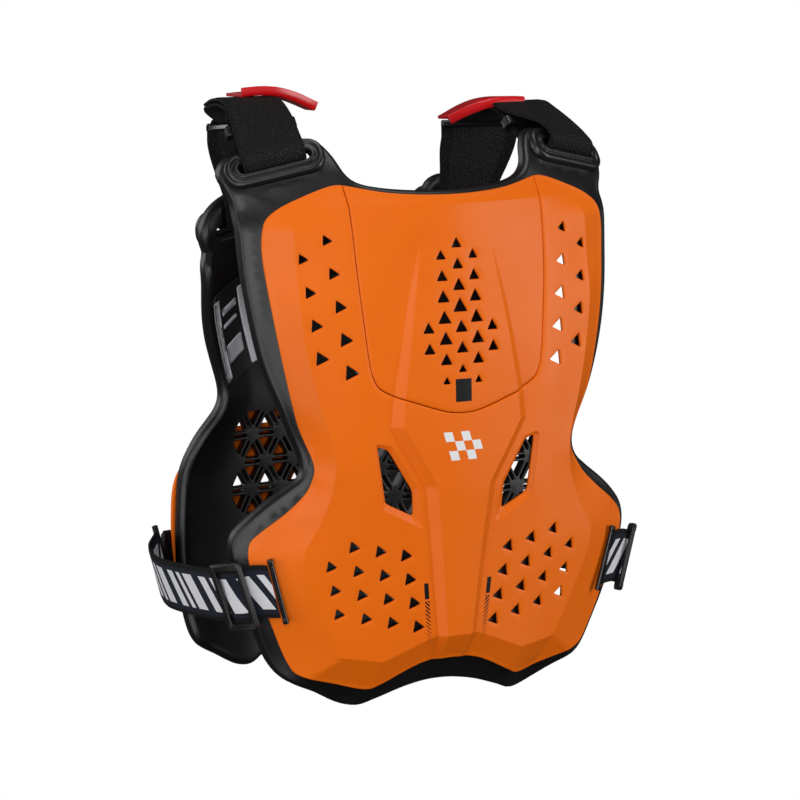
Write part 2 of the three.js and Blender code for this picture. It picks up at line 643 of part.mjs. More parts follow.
function racetrack(length, height, radius = height / 2) {
  const x = length / 2;
  const y = height / 2;
  const shape = new THREE.Shape();
  shape.moveTo(-x + radius, -y);
  shape.lineTo(x - radius, -y);
  shape.absarc(x - radius, -y + radius, radius, -Math.PI / 2, 0);
  shape.absarc(x - radius, y - radius, radius, 0, Math.PI / 2);
  shape.lineTo(-x + radius, y);
  shape.absarc(-x + radius, y - radius, radius, Math.PI / 2, Math.PI);
  shape.absarc(-x + radius, -y + radius, radius, Math.PI, Math.PI * 1.5);
  return shape;
}

// Puts a geometry drawn in a ring's own frame into the part's frame, with its faces kept outward
function placed(geometry, frame) {
  const across = new THREE.Vector3().crossVectors(frame.rise, frame.out);
  const turn = new THREE.Matrix4().makeBasis(across, frame.rise, frame.out);
  return geometry.applyMatrix4(turn.setPosition(frame.centre));
}

// The two faces of the foam behind a plate, thicker at the rim, flat where a ring lies on it
function foamFaces(panel, ring) {
  const inward = -panel.facing;
  const lobe = lobePlane(ring);
  const deeper = panel.facing < 0 ? Math.max : Math.min;
  const behindPlate = (x, z) => panel.base(x, z) + inward * (SHELL_WALL + GAP);
  const onLobe = (z) => z > panel.topZ - GAP;
  const outer = (x, z) => {
    if (z > panel.topZ + GAP) return lobe(x, z);
    return onLobe(z) ? deeper(behindPlate(x, z), lobe(x, z)) : behindPlate(x, z);
  };
  const thickness = (x, z) => {
    const [edge, side] = panel.edgeLinesAt(z);
    const share = THREE.MathUtils.clamp((Math.abs(x) - edge) / (side - edge), 0, 1);
    return THREE.MathUtils.lerp(FOAM_MIDDLE, FOAM_EDGE, onLobe(z) ? 1 : share);
  };
  const inner = (x, z) => outer(x, z) + inward * thickness(x, z);
  return { outer, inner };
}

// Foam with lobes that carry the rings and a lattice of cells
function linerGeometry({ panel, ring, outline, halfWidth, topZ, height, cells }) {
  const { outer, inner } = foamFaces(panel, ring);
  const from = (panel.topZ - topZ) / panel.height - 0.01;
  const to = (panel.topZ - topZ + height) / panel.height + 0.01;
  const heights = heightsOf(panel, from, to, [0.5 * from, 0]);
  const [front, back] = panel.facing < 0 ? [outer, inner] : [inner, outer];
  const foam = wallBetween(panel.linesAt, heights, front, back).intersect(
    prism(outlinePoints(outline, halfWidth, topZ, height)),
  );
  const cutters = [...cells.map((points) => prism(points)), slotCutter(ring, 1), slotCutter(ring, -1)];
  return geometryOf(cutters.reduce((solid, cutter) => solid.subtract(cutter), foam));
}

// A thin piece that lies on the inner face of the back liner, with an outline in (x, z)
function backPatch(points, thickness) {
  const { inner } = foamFaces(backPanel, BACK_RING);
  const under = (x, z) => inner(x, z) - GAP;
  const over = (x, z) => under(x, z) - thickness;
  const heights = heightsOf(backPanel, 0, 0.4);
  return geometryOf(wallBetween(backPanel.linesAt, heights, over, under).intersect(prism(points)));
}

// Rows of triangles that point up and down in turn, centred on the middle of a panel
function lattice(topZ, rows, columns) {
  const cells = [];
  for (let row = 0; row < rows; row += 1) {
    for (let i = -columns; i <= columns; i += 1) {
      const up = (i + row) % 2 === 0 ? 1 : -1;
      const triangleCell = triangle(i * CELL_PITCH, topZ - row * CELL_ROW, CELL_SIDE, up);
      cells.push(up > 0 ? triangleCell : triangleCell.reverse());
    }
  }
  return cells;
}

function frontLinerGeometry() {
  return linerGeometry({
    panel: frontPanel,
    ring: FRONT_RING,
    outline: FRONT_FOAM_OUTLINE,
    halfWidth: frontPanel.halfWidth + RIM_OVERHANG,
    topZ: FRONT_TOP_Z + FRONT_LOBE_RISE,
    height: FRONT_LOBE_RISE + SHELL_HEIGHT + FRONT_FOAM_DROP,
    cells: lattice(FRONT_TOP_Z - 0.3 * SHELL_HEIGHT, 6, 2),
  });
}

function backLinerGeometry() {
  return linerGeometry({
    panel: backPanel,
    ring: BACK_RING,
    outline: BACK_FOAM_OUTLINE,
    halfWidth: backPanel.halfWidth + BACK_RIM_OVERHANG,
    topZ: BACK_TOP_Z + BACK_LOBE_RISE,
    height: BACK_LOBE_RISE + BACK_HEIGHT + BACK_FOAM_DROP,
    cells: lattice(BACK_TOP_Z - 0.36 * BACK_HEIGHT, 5, 2),
  });
}

function ringGeometry(ring, sign) {
  const shape = racetrack(RING_LENGTH, RING_HEIGHT, RING_HEIGHT * 0.45);
  shape.holes.push(racetrack(SLOT_LENGTH, SLOT_HEIGHT));
  const depth = RING_THICKNESS;
  const geometry = new THREE.ExtrudeGeometry(shape, { depth, bevelEnabled: false, curveSegments: 3 });
  geometry.translate(0, 0, GAP);
  return placed(geometry, ringFrame(ring, sign));
}

// A ribbon through stations { point, across }, whose width may narrow along it
function ribbon(stations, width, thickness, widthShare = () => 1) {
  const last = stations.length - 1;
  const rings = stations.map(({ point, across }, i) => {
    const ahead = stations[Math.min(i + 1, last)].point;
    const behind = stations[Math.max(i - 1, 0)].point;
    const along = new THREE.Vector3().subVectors(ahead, behind).normalize();
    const side = across.clone().normalize();
    const normal = new THREE.Vector3().crossVectors(side, along).normalize();
    return [[-1, -1], [1, -1], [1, 1], [-1, 1]].map(([a, b]) =>
      point
        .clone()
        .addScaledVector(side, (a * width * widthShare(i / last)) / 2)
        .addScaledVector(normal, (b * thickness) / 2),
    );
  });
  return outward(skinned(rings));
}

// Turns a closed mesh's faces over where its volume comes out negative
function outward(geometry) {
  const position = geometry.attributes.position;
  const index = geometry.index.array;
  const corner = (i) => new THREE.Vector3().fromBufferAttribute(position, index[i]);
  let volume = 0;
  for (let i = 0; i < index.length; i += 3) {
    volume += corner(i).dot(corner(i + 1).cross(corner(i + 2)));
  }
  if (volume < 0) {
    for (let i = 0; i < index.length; i += 3) {
      [index[i], index[i + 1]] = [index[i + 1], index[i]];
    }
  }
  return geometry;
}

// A smooth run of stations through a few chosen ones
function smoothStations(chosen, count) {
  const points = new THREE.CatmullRomCurve3(chosen.map(({ point }) => point), false, 'centripetal');
  const sides = new THREE.CatmullRomCurve3(chosen.map(({ across }) => across), false, 'centripetal');
  return Array.from({ length: count + 1 }, (_, i) => ({
    point: points.getPoint(i / count),
    across: sides.getPoint(i / count).normalize(),
  }));
}

// The stations of the loop, midway from the front ring to the crest on the strap's lower layer
function loopStations(ringExit, crestFront) {
  const along = crestFront.point.clone().sub(ringExit.point).normalize();
  const between = ringExit.across.clone().add(crestFront.across);
  const across = between.addScaledVector(along, -along.dot(between)).normalize();
  const middle = ringExit.point.clone().lerp(crestFront.point, LOOP_PLACE);
  return [-0.6, 0, 0.6].map((share) => ({
    point: middle.clone().addScaledVector(along, share * LOOP_LENGTH),
    across,
    along,
  }));
}

// The stations of a strap that is folded over the bar, at a small gap around its rounded section
function foldStations(side) {
  const bar = barPlace(side);
  const across = barAcross(side.sign);
  const behind = new THREE.Vector3(0, 0, 1).cross(across).multiplyScalar(side.sign);
  const offset = BAR_ROUNDING + 2 * GAP + STRAP_THICKNESS / 2;
  const cornerBack = BAR_THICKNESS / 2 - BAR_ROUNDING;
  const cornerUp = BAR_HEIGHT / 2 - BAR_ROUNDING;
  const corners = [
    { angle: 140, back: -cornerBack, up: cornerUp },
    { angle: 90, back: 0, up: cornerUp },
    { angle: 45, back: cornerBack, up: cornerUp },
    { angle: 0, back: cornerBack, up: cornerUp },
    { angle: 0, back: cornerBack, up: -cornerUp },
    { angle: 0, back: cornerBack, up: -BAR_HEIGHT },
  ];
  return corners.map(({ angle, back, up }) => {
    const turn = THREE.MathUtils.degToRad(angle);
    const point = bar
      .clone()
      .addScaledVector(behind, back + offset * Math.cos(turn))
      .addScaledVector(new THREE.Vector3(0, 0, 1), up + offset * Math.sin(turn));
    return { point, across };
  });
}

// The chosen stations of a shoulder strap, from its free end through the ring to the bar
function shoulderStations({ sign, lift }) {
  const ring = ringFrame(FRONT_RING, sign);
  const crestAcross = new THREE.Vector3(sign, 0, 0);
  const crest = (back, up) => ({
    point: new THREE.Vector3(sign * CREST_OUT, back, lift + up),
    across: crestAcross,
  });
  const byRing = (rise, out) => ({ point: ringPoint(ring, 0, rise, out), across: ring.along });
  const lowUp = STRAP_THICKNESS / 2;
  const highUp = lowUp + STRAP_THICKNESS + CREST_LAYER_GAP;
  const high = CREST_PATH.map(({ back, up }) => crest(back, up + highUp));
  const low = CREST_PATH.map(({ back, up }) => crest(back, up + lowUp)).reverse();
  const overRing = RING_THICKNESS + STRAP_THICKNESS + 2 * GAP;
  const behindFoam = -(FOAM_EDGE + STRAP_THICKNESS / 2);
  const inSlot = -(SLOT_HEIGHT - STRAP_THICKNESS) / 2 + 2 * GAP;
  const ringFace = GAP + RING_THICKNESS;
  const ringExit = byRing(RING_HEIGHT / 2, behindFoam);
  return [
    ...high,
    byRing(RING_HEIGHT / 2, overRing),
    byRing(SLOT_HEIGHT / 3, overRing + STRAP_THICKNESS),
    byRing(inSlot, ringFace + STRAP_THICKNESS / 2),
    byRing(inSlot, 0),
    byRing(inSlot, behindFoam + STRAP_THICKNESS),
    byRing(SLOT_HEIGHT / 3, behindFoam - GAP),
    ringExit,
    ...loopStations(ringExit, low[0]),
    ...low,
    ...foldStations({ sign, lift }),
  ];
}

// The middle of the bar that joins the shoulder strap to the wide back strap
function barPlace({ sign, lift }) {
  return new THREE.Vector3(sign * BAR_OUT, BAR_BACK, -BAR_DROP + (lift / CREST_LIFT) * BAR_LIFT);
}

// The bar turns with the back ring, so that the wide strap between them lies flat
function barAcross(sign) {
  return new THREE.Vector3(sign, BACK_RING.yaw, 0).normalize();
}

function foldBarGeometry(side) {
  const length = BACK_STRAP_WIDTH + 2;
  const shape = racetrack(BAR_THICKNESS, BAR_HEIGHT, BAR_ROUNDING);
  const geometry = new THREE.ExtrudeGeometry(shape, { depth: length, bevelEnabled: false, curveSegments: 2 });
  geometry.translate(0, 0, -length / 2);
  const up = new THREE.Vector3(0, 0, 1);
  const across = barAcross(side.sign);
  const basis = [new THREE.Vector3().crossVectors(up, across), up, across];
  return geometry.applyMatrix4(new THREE.Matrix4().makeBasis(...basis).setPosition(barPlace(side)));
}

function backStrapGeometry(side) {
  const ring = ringFrame(BACK_RING, side.sign);
  const across = barAcross(side.sign);
  const bar = barPlace(side);
  const behindFoam = -(FOAM_EDGE + BACK_STRAP_THICKNESS / 2);
  const top = bar.clone().add(new THREE.Vector3(0, 0, -BAR_HEIGHT / 2 - 2 * GAP));
  const inSlot = SLOT_HEIGHT / 2 - BACK_STRAP_THICKNESS / 2 - GAP;
  const chosen = [
    { point: top, across },
    { point: top.clone().add(new THREE.Vector3(0, 0, -BAR_HEIGHT / 2)), across },
    { point: top.clone().add(new THREE.Vector3(0, 0, -BAR_HEIGHT)), across },
    { point: ringPoint(ring, 0, RING_HEIGHT, behindFoam), across: ring.along },
    { point: ringPoint(ring, 0, SLOT_HEIGHT, behindFoam - 2 * GAP), across: ring.along },
    { point: ringPoint(ring, 0, inSlot + 2 * GAP, behindFoam - GAP), across: ring.along },
    { point: ringPoint(ring, 0, inSlot - GAP, behindFoam + BACK_STRAP_THICKNESS), across: ring.along },
    { point: ringPoint(ring, 0, inSlot, 0), across: ring.along },
    { point: ringPoint(ring, 0, inSlot, RING_THICKNESS), across: ring.along },
  ];
  const narrow = (SLOT_LENGTH - SLOT_HEIGHT) / BACK_STRAP_WIDTH;
  const taper = (share) => (share < BACK_STRAP_TAPER ? 1 : narrow);
  return ribbon(smoothStations(chosen, BACK_STATIONS), BACK_STRAP_WIDTH, BACK_STRAP_THICKNESS, taper);
}

// A plastic loop around the lower layer of the shoulder strap
function strapLoopGeometry(chosen) {
  const { point, across, along } = chosen.filter((station) => station.along)[1];
  const normal = new THREE.Vector3().crossVectors(along, across);
  const innerWidth = STRAP_WIDTH + 2 * LOOP_CLEARANCE;
  const innerHeight = STRAP_THICKNESS + 2 * LOOP_CLEARANCE;
  const shape = racetrack(innerWidth + 2 * LOOP_WALL, innerHeight + 2 * LOOP_WALL, LOOP_WALL);
  shape.holes.push(racetrack(innerWidth, innerHeight, LOOP_CLEARANCE));
  const depth = LOOP_LENGTH;
  const geometry = new THREE.ExtrudeGeometry(shape, { depth, bevelEnabled: false, curveSegments: 1 });
  geometry.translate(0, 0, -LOOP_LENGTH / 2);
  geometry.applyMatrix4(new THREE.Matrix4().makeBasis(across, normal, along).setPosition(point));
  return geometry;
}

function pullTabGeometry({ sign, lift }) {
  const slope = (CREST_PATH[0].up - CREST_PATH[2].up) / (CREST_PATH[0].back - CREST_PATH[2].back);
  const across = new THREE.Vector3(0, 1, slope).normalize();
  const onStrap = 2 * STRAP_THICKNESS + CREST_LAYER_GAP + 2 * GAP + TAB_THICKNESS / 2;
  const outerEnd = CREST_OUT + TAB_OUTSET;
  const stations = TAB_SECTIONS.map(({ along, rise }) => ({
    point: new THREE.Vector3(
      sign * (outerEnd - along * TAB_LENGTH),
      CREST_PATH[1].back,
      lift + CREST_PATH[1].up + onStrap + rise * TAB_ARCH,
    ),
    across,
  }));
  return ribbon(smoothStations(stations, TAB_STATIONS), TAB_WIDTH, TAB_THICKNESS);
}

const waistAcross = (sign) => new THREE.Vector3(sign * WAIST_LEAN, 0, 1).normalize();

// The front rod lies against the chest plate: its middle stands clear of the plate's most forward face
function frontRodPlace(sign) {
  const across = waistAcross(1);
  const samples = [-0.5, -0.25, 0, 0.25, 0.5].map((share) => {
    const z = -WAIST_DROP + share * ROD_LENGTH * across.z;
    return frontPanel.face(FRONT_ROD_OUT + share * ROD_LENGTH * across.x - ROD_DIAMETER / 2, z);
  });
  return new THREE.Vector3(sign * FRONT_ROD_OUT, Math.min(...samples) - ROD_DIAMETER / 2 - GAP, -WAIST_DROP);
}

function backRodPlace(sign) {
  return new THREE.Vector3(sign * BACK_ROD_OUT, BACK_ROD_BACK, -WAIST_DROP - BACK_ROD_SAG * WAIST_SAG);
}

// The strap runs from rod to rod, and its ends stand a small gap off them
function waistStations(sign) {
  const across = waistAcross(sign);
  const station = (y) => ({ out, behind, sag }) => ({
    point: new THREE.Vector3(sign * out * WAIST_BULGE, y(behind), -WAIST_DROP - sag * WAIST_SAG),
    across,
  });
  const middle = [
    ...WAIST_FRONT_SECTIONS.map(station((behind) => behind * SHELL_BOW - FRONT_REACH)),
    ...WAIST_BACK_SECTIONS.map(station((behind) => BACK_REACH - behind * BACK_BOW)),
  ];
  const beside = (rod, next) => {
    const toNext = new THREE.Vector3(next.x - rod.x, next.y - rod.y, 0).normalize();
    return { point: rod.clone().addScaledVector(toNext, ROD_DIAMETER / 2 + 1.5 * GAP), across };
  };
  return [
    beside(frontRodPlace(sign), middle[0].point),
    ...middle,
    beside(backRodPlace(sign), middle[middle.length - 1].point),
  ];
}

function rodGeometry(place, sign) {
  const geometry = new THREE.CylinderGeometry(ROD_DIAMETER / 2, ROD_DIAMETER / 2, ROD_LENGTH, 8);
  const turn = new THREE.Quaternion().setFromUnitVectors(new THREE.Vector3(0, 1, 0), waistAcross(sign));
  return geometry.applyQuaternion(turn).translate(...place.toArray());
}

// The back rod with the plate that hooks it onto the outer face of the back plate
function backBarGeometry(sign) {
  const place = backRodPlace(sign);
  const rod = solidOf(mergeable(rodGeometry(place, sign)));
  const seatX = BACK_ROD_OUT - HOOK_LENGTH;
  const samples = [-0.5, 0, 0.5].map((share) => backPanel.face(seatX, place.z + share * HOOK_HEIGHT));
  const seatY = Math.max(...samples) + GAP + HOOK_THICKNESS / 2;
  const plate = new THREE.Vector3(sign * seatX, seatY, place.z);
  const cornerX = backPanel.halfWidth + HOOK_THICKNESS;
  const corner = new THREE.Vector3(sign * cornerX, seatY - HOOK_THICKNESS, place.z);
  const up = new THREE.Vector3(0, 0, 1);
  const stations = [place, corner, plate].map((point) => ({ point, across: up }));
  return geometryOf(rod.add(solidOf(ribbon(stations, HOOK_HEIGHT, HOOK_THICKNESS))));
}

// The slider frame lies on the outer side of the strap, which bends away under its end bars
function sliderGeometry(sign) {
  const stations = smoothStations(waistStations(sign), FINE_STATIONS);
  const at = Math.round(stations.length * SLIDER_PLACE);
  const { point, across } = stations[at];
  const along = new THREE.Vector3().subVectors(stations[at + 1].point, stations[at - 1].point).normalize();
  const up = across.clone().addScaledVector(along, -along.dot(across)).normalize();
  const outer = new THREE.Vector3().crossVectors(along, up);
  if (outer.x * sign < 0) outer.negate();
  const shape = racetrack(SLIDER_WIDTH, SLIDER_HEIGHT, SLIDER_BAR * 0.8);
  const frame = 2 * SLIDER_BAR;
  shape.holes.push(racetrack(SLIDER_WIDTH - frame, SLIDER_HEIGHT - frame, SLIDER_BAR * 0.4));
  const geometry = new THREE.ExtrudeGeometry(shape, {
    depth: SLIDER_THICKNESS,
    bevelEnabled: false,
    curveSegments: 1,
  });
  const wide = new THREE.Vector3().crossVectors(up, outer);
  const offsets = stations.map((station) => new THREE.Vector3().subVectors(station.point, point));
  const underBars = offsets.filter((offset) => {
    const place = Math.abs(offset.dot(wide));
    return place < SLIDER_WIDTH / 2 && place > SLIDER_WIDTH / 2 - SLIDER_BAR;
  });
  const highest = Math.max(...underBars.map((offset) => offset.dot(outer)));
  geometry.translate(0, 0, highest + WAIST_THICKNESS / 2 + GAP);
  return geometry.applyMatrix4(new THREE.Matrix4().makeBasis(wide, up, outer).setPosition(point));
}

const material = (color, roughness) => new THREE.MeshStandardMaterial({ color, roughness, metalness: 0 });
const orangePlastic = () => material(0xe8701e, 0.35);
const blackFoam = () => material(0x1b1b1c, 0.8);
const blackPlastic = () => material(0x161617, 0.4);
const blackWebbing = () => material(0x101012, 0.95);
const navyElastic = () => material(0x20222c, 0.85);
const redPlastic = () => material(0xc10f1c, 0.35);

const part = new THREE.Group();

function add(name, geometry, look) {
  const mesh = new THREE.Mesh(geometry, look);
  mesh.name = name;
  part.add(mesh);
}

add('front_shell', frontShellGeometry(), orangePlastic());
add('centre_panel', centrePanelGeometry(), orangePlastic());
add('front_liner', frontLinerGeometry(), blackFoam());
add('back_shell', backShellGeometry(), orangePlastic());
add('back_liner', backLinerGeometry(), blackFoam());
for (const { name, sign } of SIDES) {
  add(`front_ring_${name}`, ringGeometry(FRONT_RING, sign), blackPlastic());
  add(`back_ring_${name}`, ringGeometry(BACK_RING, sign), blackPlastic());
}

for (const side of SIDES) {
  const { name, sign } = side;
  const shoulder = shoulderStations(side);
  const waist = smoothStations(waistStations(sign), WAIST_STATIONS);
  const overShoulder = smoothStations(shoulder, SHOULDER_STATIONS);
  add(`shoulder_strap_${name}`, ribbon(overShoulder, STRAP_WIDTH, STRAP_THICKNESS), blackWebbing());
  add(`back_strap_${name}`, backStrapGeometry(side), blackWebbing());
  add(`fold_bar_${name}`, foldBarGeometry(side), blackPlastic());
  add(`strap_loop_${name}`, strapLoopGeometry(shoulder), blackPlastic());
  add(`pull_tab_${name}`, pullTabGeometry(side), redPlastic());
  add(`waist_strap_${name}`, ribbon(waist, WAIST_WIDTH, WAIST_THICKNESS), navyElastic());
  add(`front_bar_${name}`, rodGeometry(frontRodPlace(sign), sign), blackPlastic());
  add(`back_bar_${name}`, backBarGeometry(sign), blackPlastic());
  add(`slider_${name}`, sliderGeometry(sign), blackPlastic());
}

// The printed flap and its tab lie on the inner face of the back liner
const onBack = ({ half, down }) => [half * backPanel.halfWidth, BACK_TOP_Z - down * BACK_HEIGHT];
add('back_tongue', backPatch(TONGUE_OUTLINE.map(onBack), TONGUE_THICKNESS), blackFoam());
const release = new THREE.EllipseCurve(...onBack(RELEASE_PLACE), RELEASE_DIAMETER / 2, RELEASE_DIAMETER / 2);
const releaseOutline = release.getPoints(12).slice(1).map(({ x, y }) => [x, y]);
add('release_tab', backPatch(releaseOutline, RELEASE_THICKNESS), redPlastic());

export default part;
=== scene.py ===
import math

import bmesh
import bpy
import numpy as np
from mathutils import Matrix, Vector
from mathutils.geometry import delaunay_2d_cdt


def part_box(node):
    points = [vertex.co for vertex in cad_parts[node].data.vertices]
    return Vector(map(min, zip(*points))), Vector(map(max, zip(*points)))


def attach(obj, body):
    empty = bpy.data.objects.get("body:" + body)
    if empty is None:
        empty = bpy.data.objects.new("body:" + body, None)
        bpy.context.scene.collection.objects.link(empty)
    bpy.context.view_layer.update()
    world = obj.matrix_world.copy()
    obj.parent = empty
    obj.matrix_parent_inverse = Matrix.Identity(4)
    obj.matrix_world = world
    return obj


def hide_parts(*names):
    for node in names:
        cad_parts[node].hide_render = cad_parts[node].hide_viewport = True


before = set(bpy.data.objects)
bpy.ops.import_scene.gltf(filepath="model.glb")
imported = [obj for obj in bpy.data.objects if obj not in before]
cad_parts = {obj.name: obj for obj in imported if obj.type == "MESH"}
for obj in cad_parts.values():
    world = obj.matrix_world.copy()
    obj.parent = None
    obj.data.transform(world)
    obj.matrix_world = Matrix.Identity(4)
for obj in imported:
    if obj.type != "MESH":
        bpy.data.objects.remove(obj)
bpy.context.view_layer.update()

# Sizes here are millimetres in the part's frame until make_mesh turns them into metres.
MM = 0.001
SHELL_HALF = 166.0
SHELL_HEIGHT = 400.0
SHELL_BOW = 60.0
SHELL_WALL = 3.0
FRONT_REACH = 130.0
FRONT_TOP = -50.0
BACK_HALF = 148.0
BACK_HEIGHT = 350.0
BACK_BOW = 75.0
BACK_REACH = 138.0
BACK_TOP = -106.0
RIDGE_RISE = 6.0
SEAM_GAP = 0.4
FOAM_MIDDLE = 10.0
FOAM_EDGE = 16.0
GAP = 0.4
FRONT_FOAM_HALF = 175.0
FRONT_FOAM_TOP = -16.0
FRONT_FOAM_HEIGHT = 450.0
BACK_FOAM_HALF = 145.0
BACK_FOAM_TOP = -62.0
BACK_FOAM_HEIGHT = 406.0

# Sections down the panels: down, centre, midX, mid, edgeX, edge, sideX, side.
FRONT_SECTIONS = [
    (0.0, 0.45, 0.505, 0.7, 0.7, 0.87, 1.0, 1.16),
    (0.04, 0.28, 0.51, 0.52, 0.71, 0.72, 0.85, 0.87),
    (0.085, 0.23, 0.505, 0.44, 0.775, 0.63, 0.905, 0.83),
    (0.15, 0.19, 0.5, 0.36, 0.775, 0.575, 0.9, 0.78),
    (0.235, 0.14, 0.48, 0.275, 0.77, 0.45, 0.88, 0.68),
    (0.325, 0.09, 0.465, 0.21, 0.745, 0.4, 0.84, 0.6),
    (0.41, 0.09, 0.46, 0.17, 0.7, 0.33, 0.795, 0.57),
    (0.54, 0.065, 0.42, 0.15, 0.625, 0.25, 0.683, 0.54),
    (0.59, 0.065, 0.42, 0.15, 0.64, 0.28, 0.74, 0.5),
    (0.65, 0.09, 0.435, 0.17, 0.69, 0.325, 0.9, 0.58),
    (0.717, 0.115, 0.45, 0.2, 0.77, 0.38, 1.0, 0.69),
    (0.85, 0.15, 0.39, 0.25, 0.66, 0.4, 0.895, 0.68),
    (0.925, 0.17, 0.375, 0.275, 0.572, 0.403, 0.81, 0.68),
    (1.0, 0.19, 0.38, 0.3, 0.5, 0.41, 0.74, 0.66),
]
# The upper edge of the bottom facets, as half widths and downs, how steeply the facets fall back,
# and the outer end of the corner between the bottom and side facets.
BOTTOM_FACET = [(0.0, 0.891), (0.12, 0.894), (0.375, 0.9375), (0.575, 0.925), (1.1, 0.905)]
BOTTOM_SLOPE = 0.62
BOTTOM_CORNER = (0.8, 0.94)
# Rows where the plate is creased along its width.
FRONT_CREASES = (0.04,)
# The ridge: down, footX, crestX, rise.
RIDGE_SECTIONS = [
    (0.11, 0.19, 0.18, 0.0),
    (0.235, 0.265, 0.235, 0.45),
    (0.41, 0.345, 0.3, 0.9),
    (0.468, 0.36, 0.31, 1.0),
    (0.59, 0.187, 0.137, 1.0),
    (0.717, 0.148, 0.103, 1.0),
    (0.895, 0.1, 0.063, 0.9),
    (1.0, 0.08, 0.05, 0.2),
]
BACK_SECTIONS = [
    (-0.09, 0.83, 0.4, 0.84, 0.64, 0.86, 0.8, 0.93),
    (0.0, 0.64, 0.4, 0.65, 0.66, 0.77, 0.9, 0.89),
    (0.08, 0.48, 0.4, 0.52, 0.66, 0.64, 0.83, 0.8),
    (0.18, 0.3, 0.38, 0.34, 0.64, 0.44, 0.8, 0.62),
    (0.29, 0.15, 0.34, 0.18, 0.58, 0.28, 0.71, 0.43),
    (0.385, 0.05, 0.32, 0.09, 0.53, 0.19, 0.63, 0.32),
    (0.49, 0.01, 0.36, 0.05, 0.61, 0.17, 0.82, 0.36),
    (0.59, 0.0, 0.4, 0.05, 0.71, 0.19, 0.98, 0.42),
    (0.72, 0.03, 0.42, 0.08, 0.73, 0.21, 1.0, 0.44),
    (0.86, 0.08, 0.38, 0.13, 0.67, 0.27, 0.95, 0.5),
    (1.0, 0.2, 0.34, 0.24, 0.55, 0.36, 0.84, 0.6),
]
# Half outlines as (half, down) shares, from the middle of the top to the middle of the bottom.
SHELL_OUTLINE = [
    (0.0, 0.022), (0.3, 0.016), (0.51, 0.0), (0.55, 0.0), (0.7, 0.02), (0.83, 0.045),
    (0.885, 0.066), (0.905, 0.1), (0.895, 0.18), (0.85, 0.31), (0.775, 0.445), (0.69, 0.535),
    (0.69, 0.553), (0.735, 0.59), (0.82, 0.625), (0.95, 0.668), (0.995, 0.69), (1.0, 0.725),
    (0.888, 0.855), (0.8, 0.937), (0.765, 0.956), (0.585, 0.982), (0.4, 1.0), (0.345, 0.99),
    (0.155, 0.953), (0.0, 0.945),
]
SEAM_OUTLINE = [
    (0.51, -0.05), (0.512, 0.04), (0.497, 0.165), (0.48, 0.25), (0.46, 0.335), (0.445, 0.367),
    (0.42, 0.388), (0.36, 0.404), (0.255, 0.42), (0.08, 0.443), (0.0, 0.446),
]
FRONT_FOAM_OUTLINE = [
    (0.0, 0.09), (0.3, 0.083), (0.41, 0.072), (0.45, 0.058), (0.485, 0.026), (0.525, 0.006),
    (0.58, 0.0), (0.86, 0.024), (0.935, 0.04), (0.963, 0.06), (0.95, 0.083), (0.93, 0.108),
    (0.93, 0.14), (0.91, 0.26), (0.855, 0.38), (0.76, 0.48), (0.69, 0.55), (0.695, 0.576),
    (0.755, 0.597), (0.85, 0.624), (0.94, 0.655), (0.99, 0.68), (1.0, 0.71), (0.9, 0.835),
    (0.81, 0.914), (0.75, 0.94), (0.61, 0.967), (0.47, 0.995), (0.39, 1.0), (0.31, 0.988),
    (0.165, 0.97), (0.0, 0.963),
]
BACK_OUTLINE = [
    (0.0, 0.02), (0.4, 0.0), (0.64, 0.03), (0.76, 0.08), (0.79, 0.15), (0.74, 0.26),
    (0.63, 0.385), (0.66, 0.44), (0.84, 0.51), (0.97, 0.575), (1.0, 0.67), (0.96, 0.84),
    (0.86, 0.94), (0.64, 0.985), (0.42, 1.0), (0.17, 0.975), (0.0, 0.97),
]
BACK_FOAM_OUTLINE = [
    (0.0, 0.055), (0.35, 0.047), (0.455, 0.035), (0.5, 0.012), (0.58, 0.0), (0.83, 0.022),
    (0.94, 0.052), (0.985, 0.088), (0.97, 0.118), (0.95, 0.13), (0.975, 0.155), (0.96, 0.2),
    (0.88, 0.31), (0.76, 0.425), (0.78, 0.455), (0.9, 0.51), (0.97, 0.56), (1.0, 0.63),
    (1.0, 0.88), (0.95, 0.93), (0.8, 0.965), (0.64, 0.995), (0.54, 1.0), (0.42, 0.98),
    (0.17, 0.96), (0.0, 0.955),
]
BEVEL_OUTLINE = [(0.44, 0.497), (0.397, 0.63), (0.178, 0.6775), (0.228, 0.59), (0.355, 0.505)]
BEVEL_DEPTH = 3.2
WINDOW_OUTLINE = [(0.42, 0.505), (0.38, 0.618), (0.235, 0.648), (0.243, 0.597), (0.365, 0.513)]

FRONT_RING = dict(out=127.99, forward=56.98, drop=35, yaw=0.31, tilt=0.233, lean=38, facing=-1)
BACK_RING = dict(out=101.01, forward=-73.99, drop=93, yaw=-0.25, tilt=0.2, lean=-8, facing=1)
SLOT_LENGTH, SLOT_HEIGHT = 57.0, 9.0
RING_LENGTH, RING_HEIGHT = 80, 30
# The liners' pierced lattices: the side of a triangle and of its hole, and the slits between triangles.
LATTICE_SIDE = 27.0
LATTICE_HOLE = 15.0
SLIT_LENGTH = 15.0
SLIT_WIDTH = 2.6
LATTICE_HALF = 82.0
FRONT_LATTICE_TOP = -258.0
BACK_LATTICE_TOP = -266.0


# Webbing widths and thicknesses
SHOULDER_WIDTH, WEBBING = 50, 3
BACK_STRAP_WIDTH, BACK_STRAP_END = 64, 48
ELASTIC_WIDTH, ELASTIC = 44, 2.5
# The rims of holes are rounded by this much.
HOLE_RADIUS = 0.8

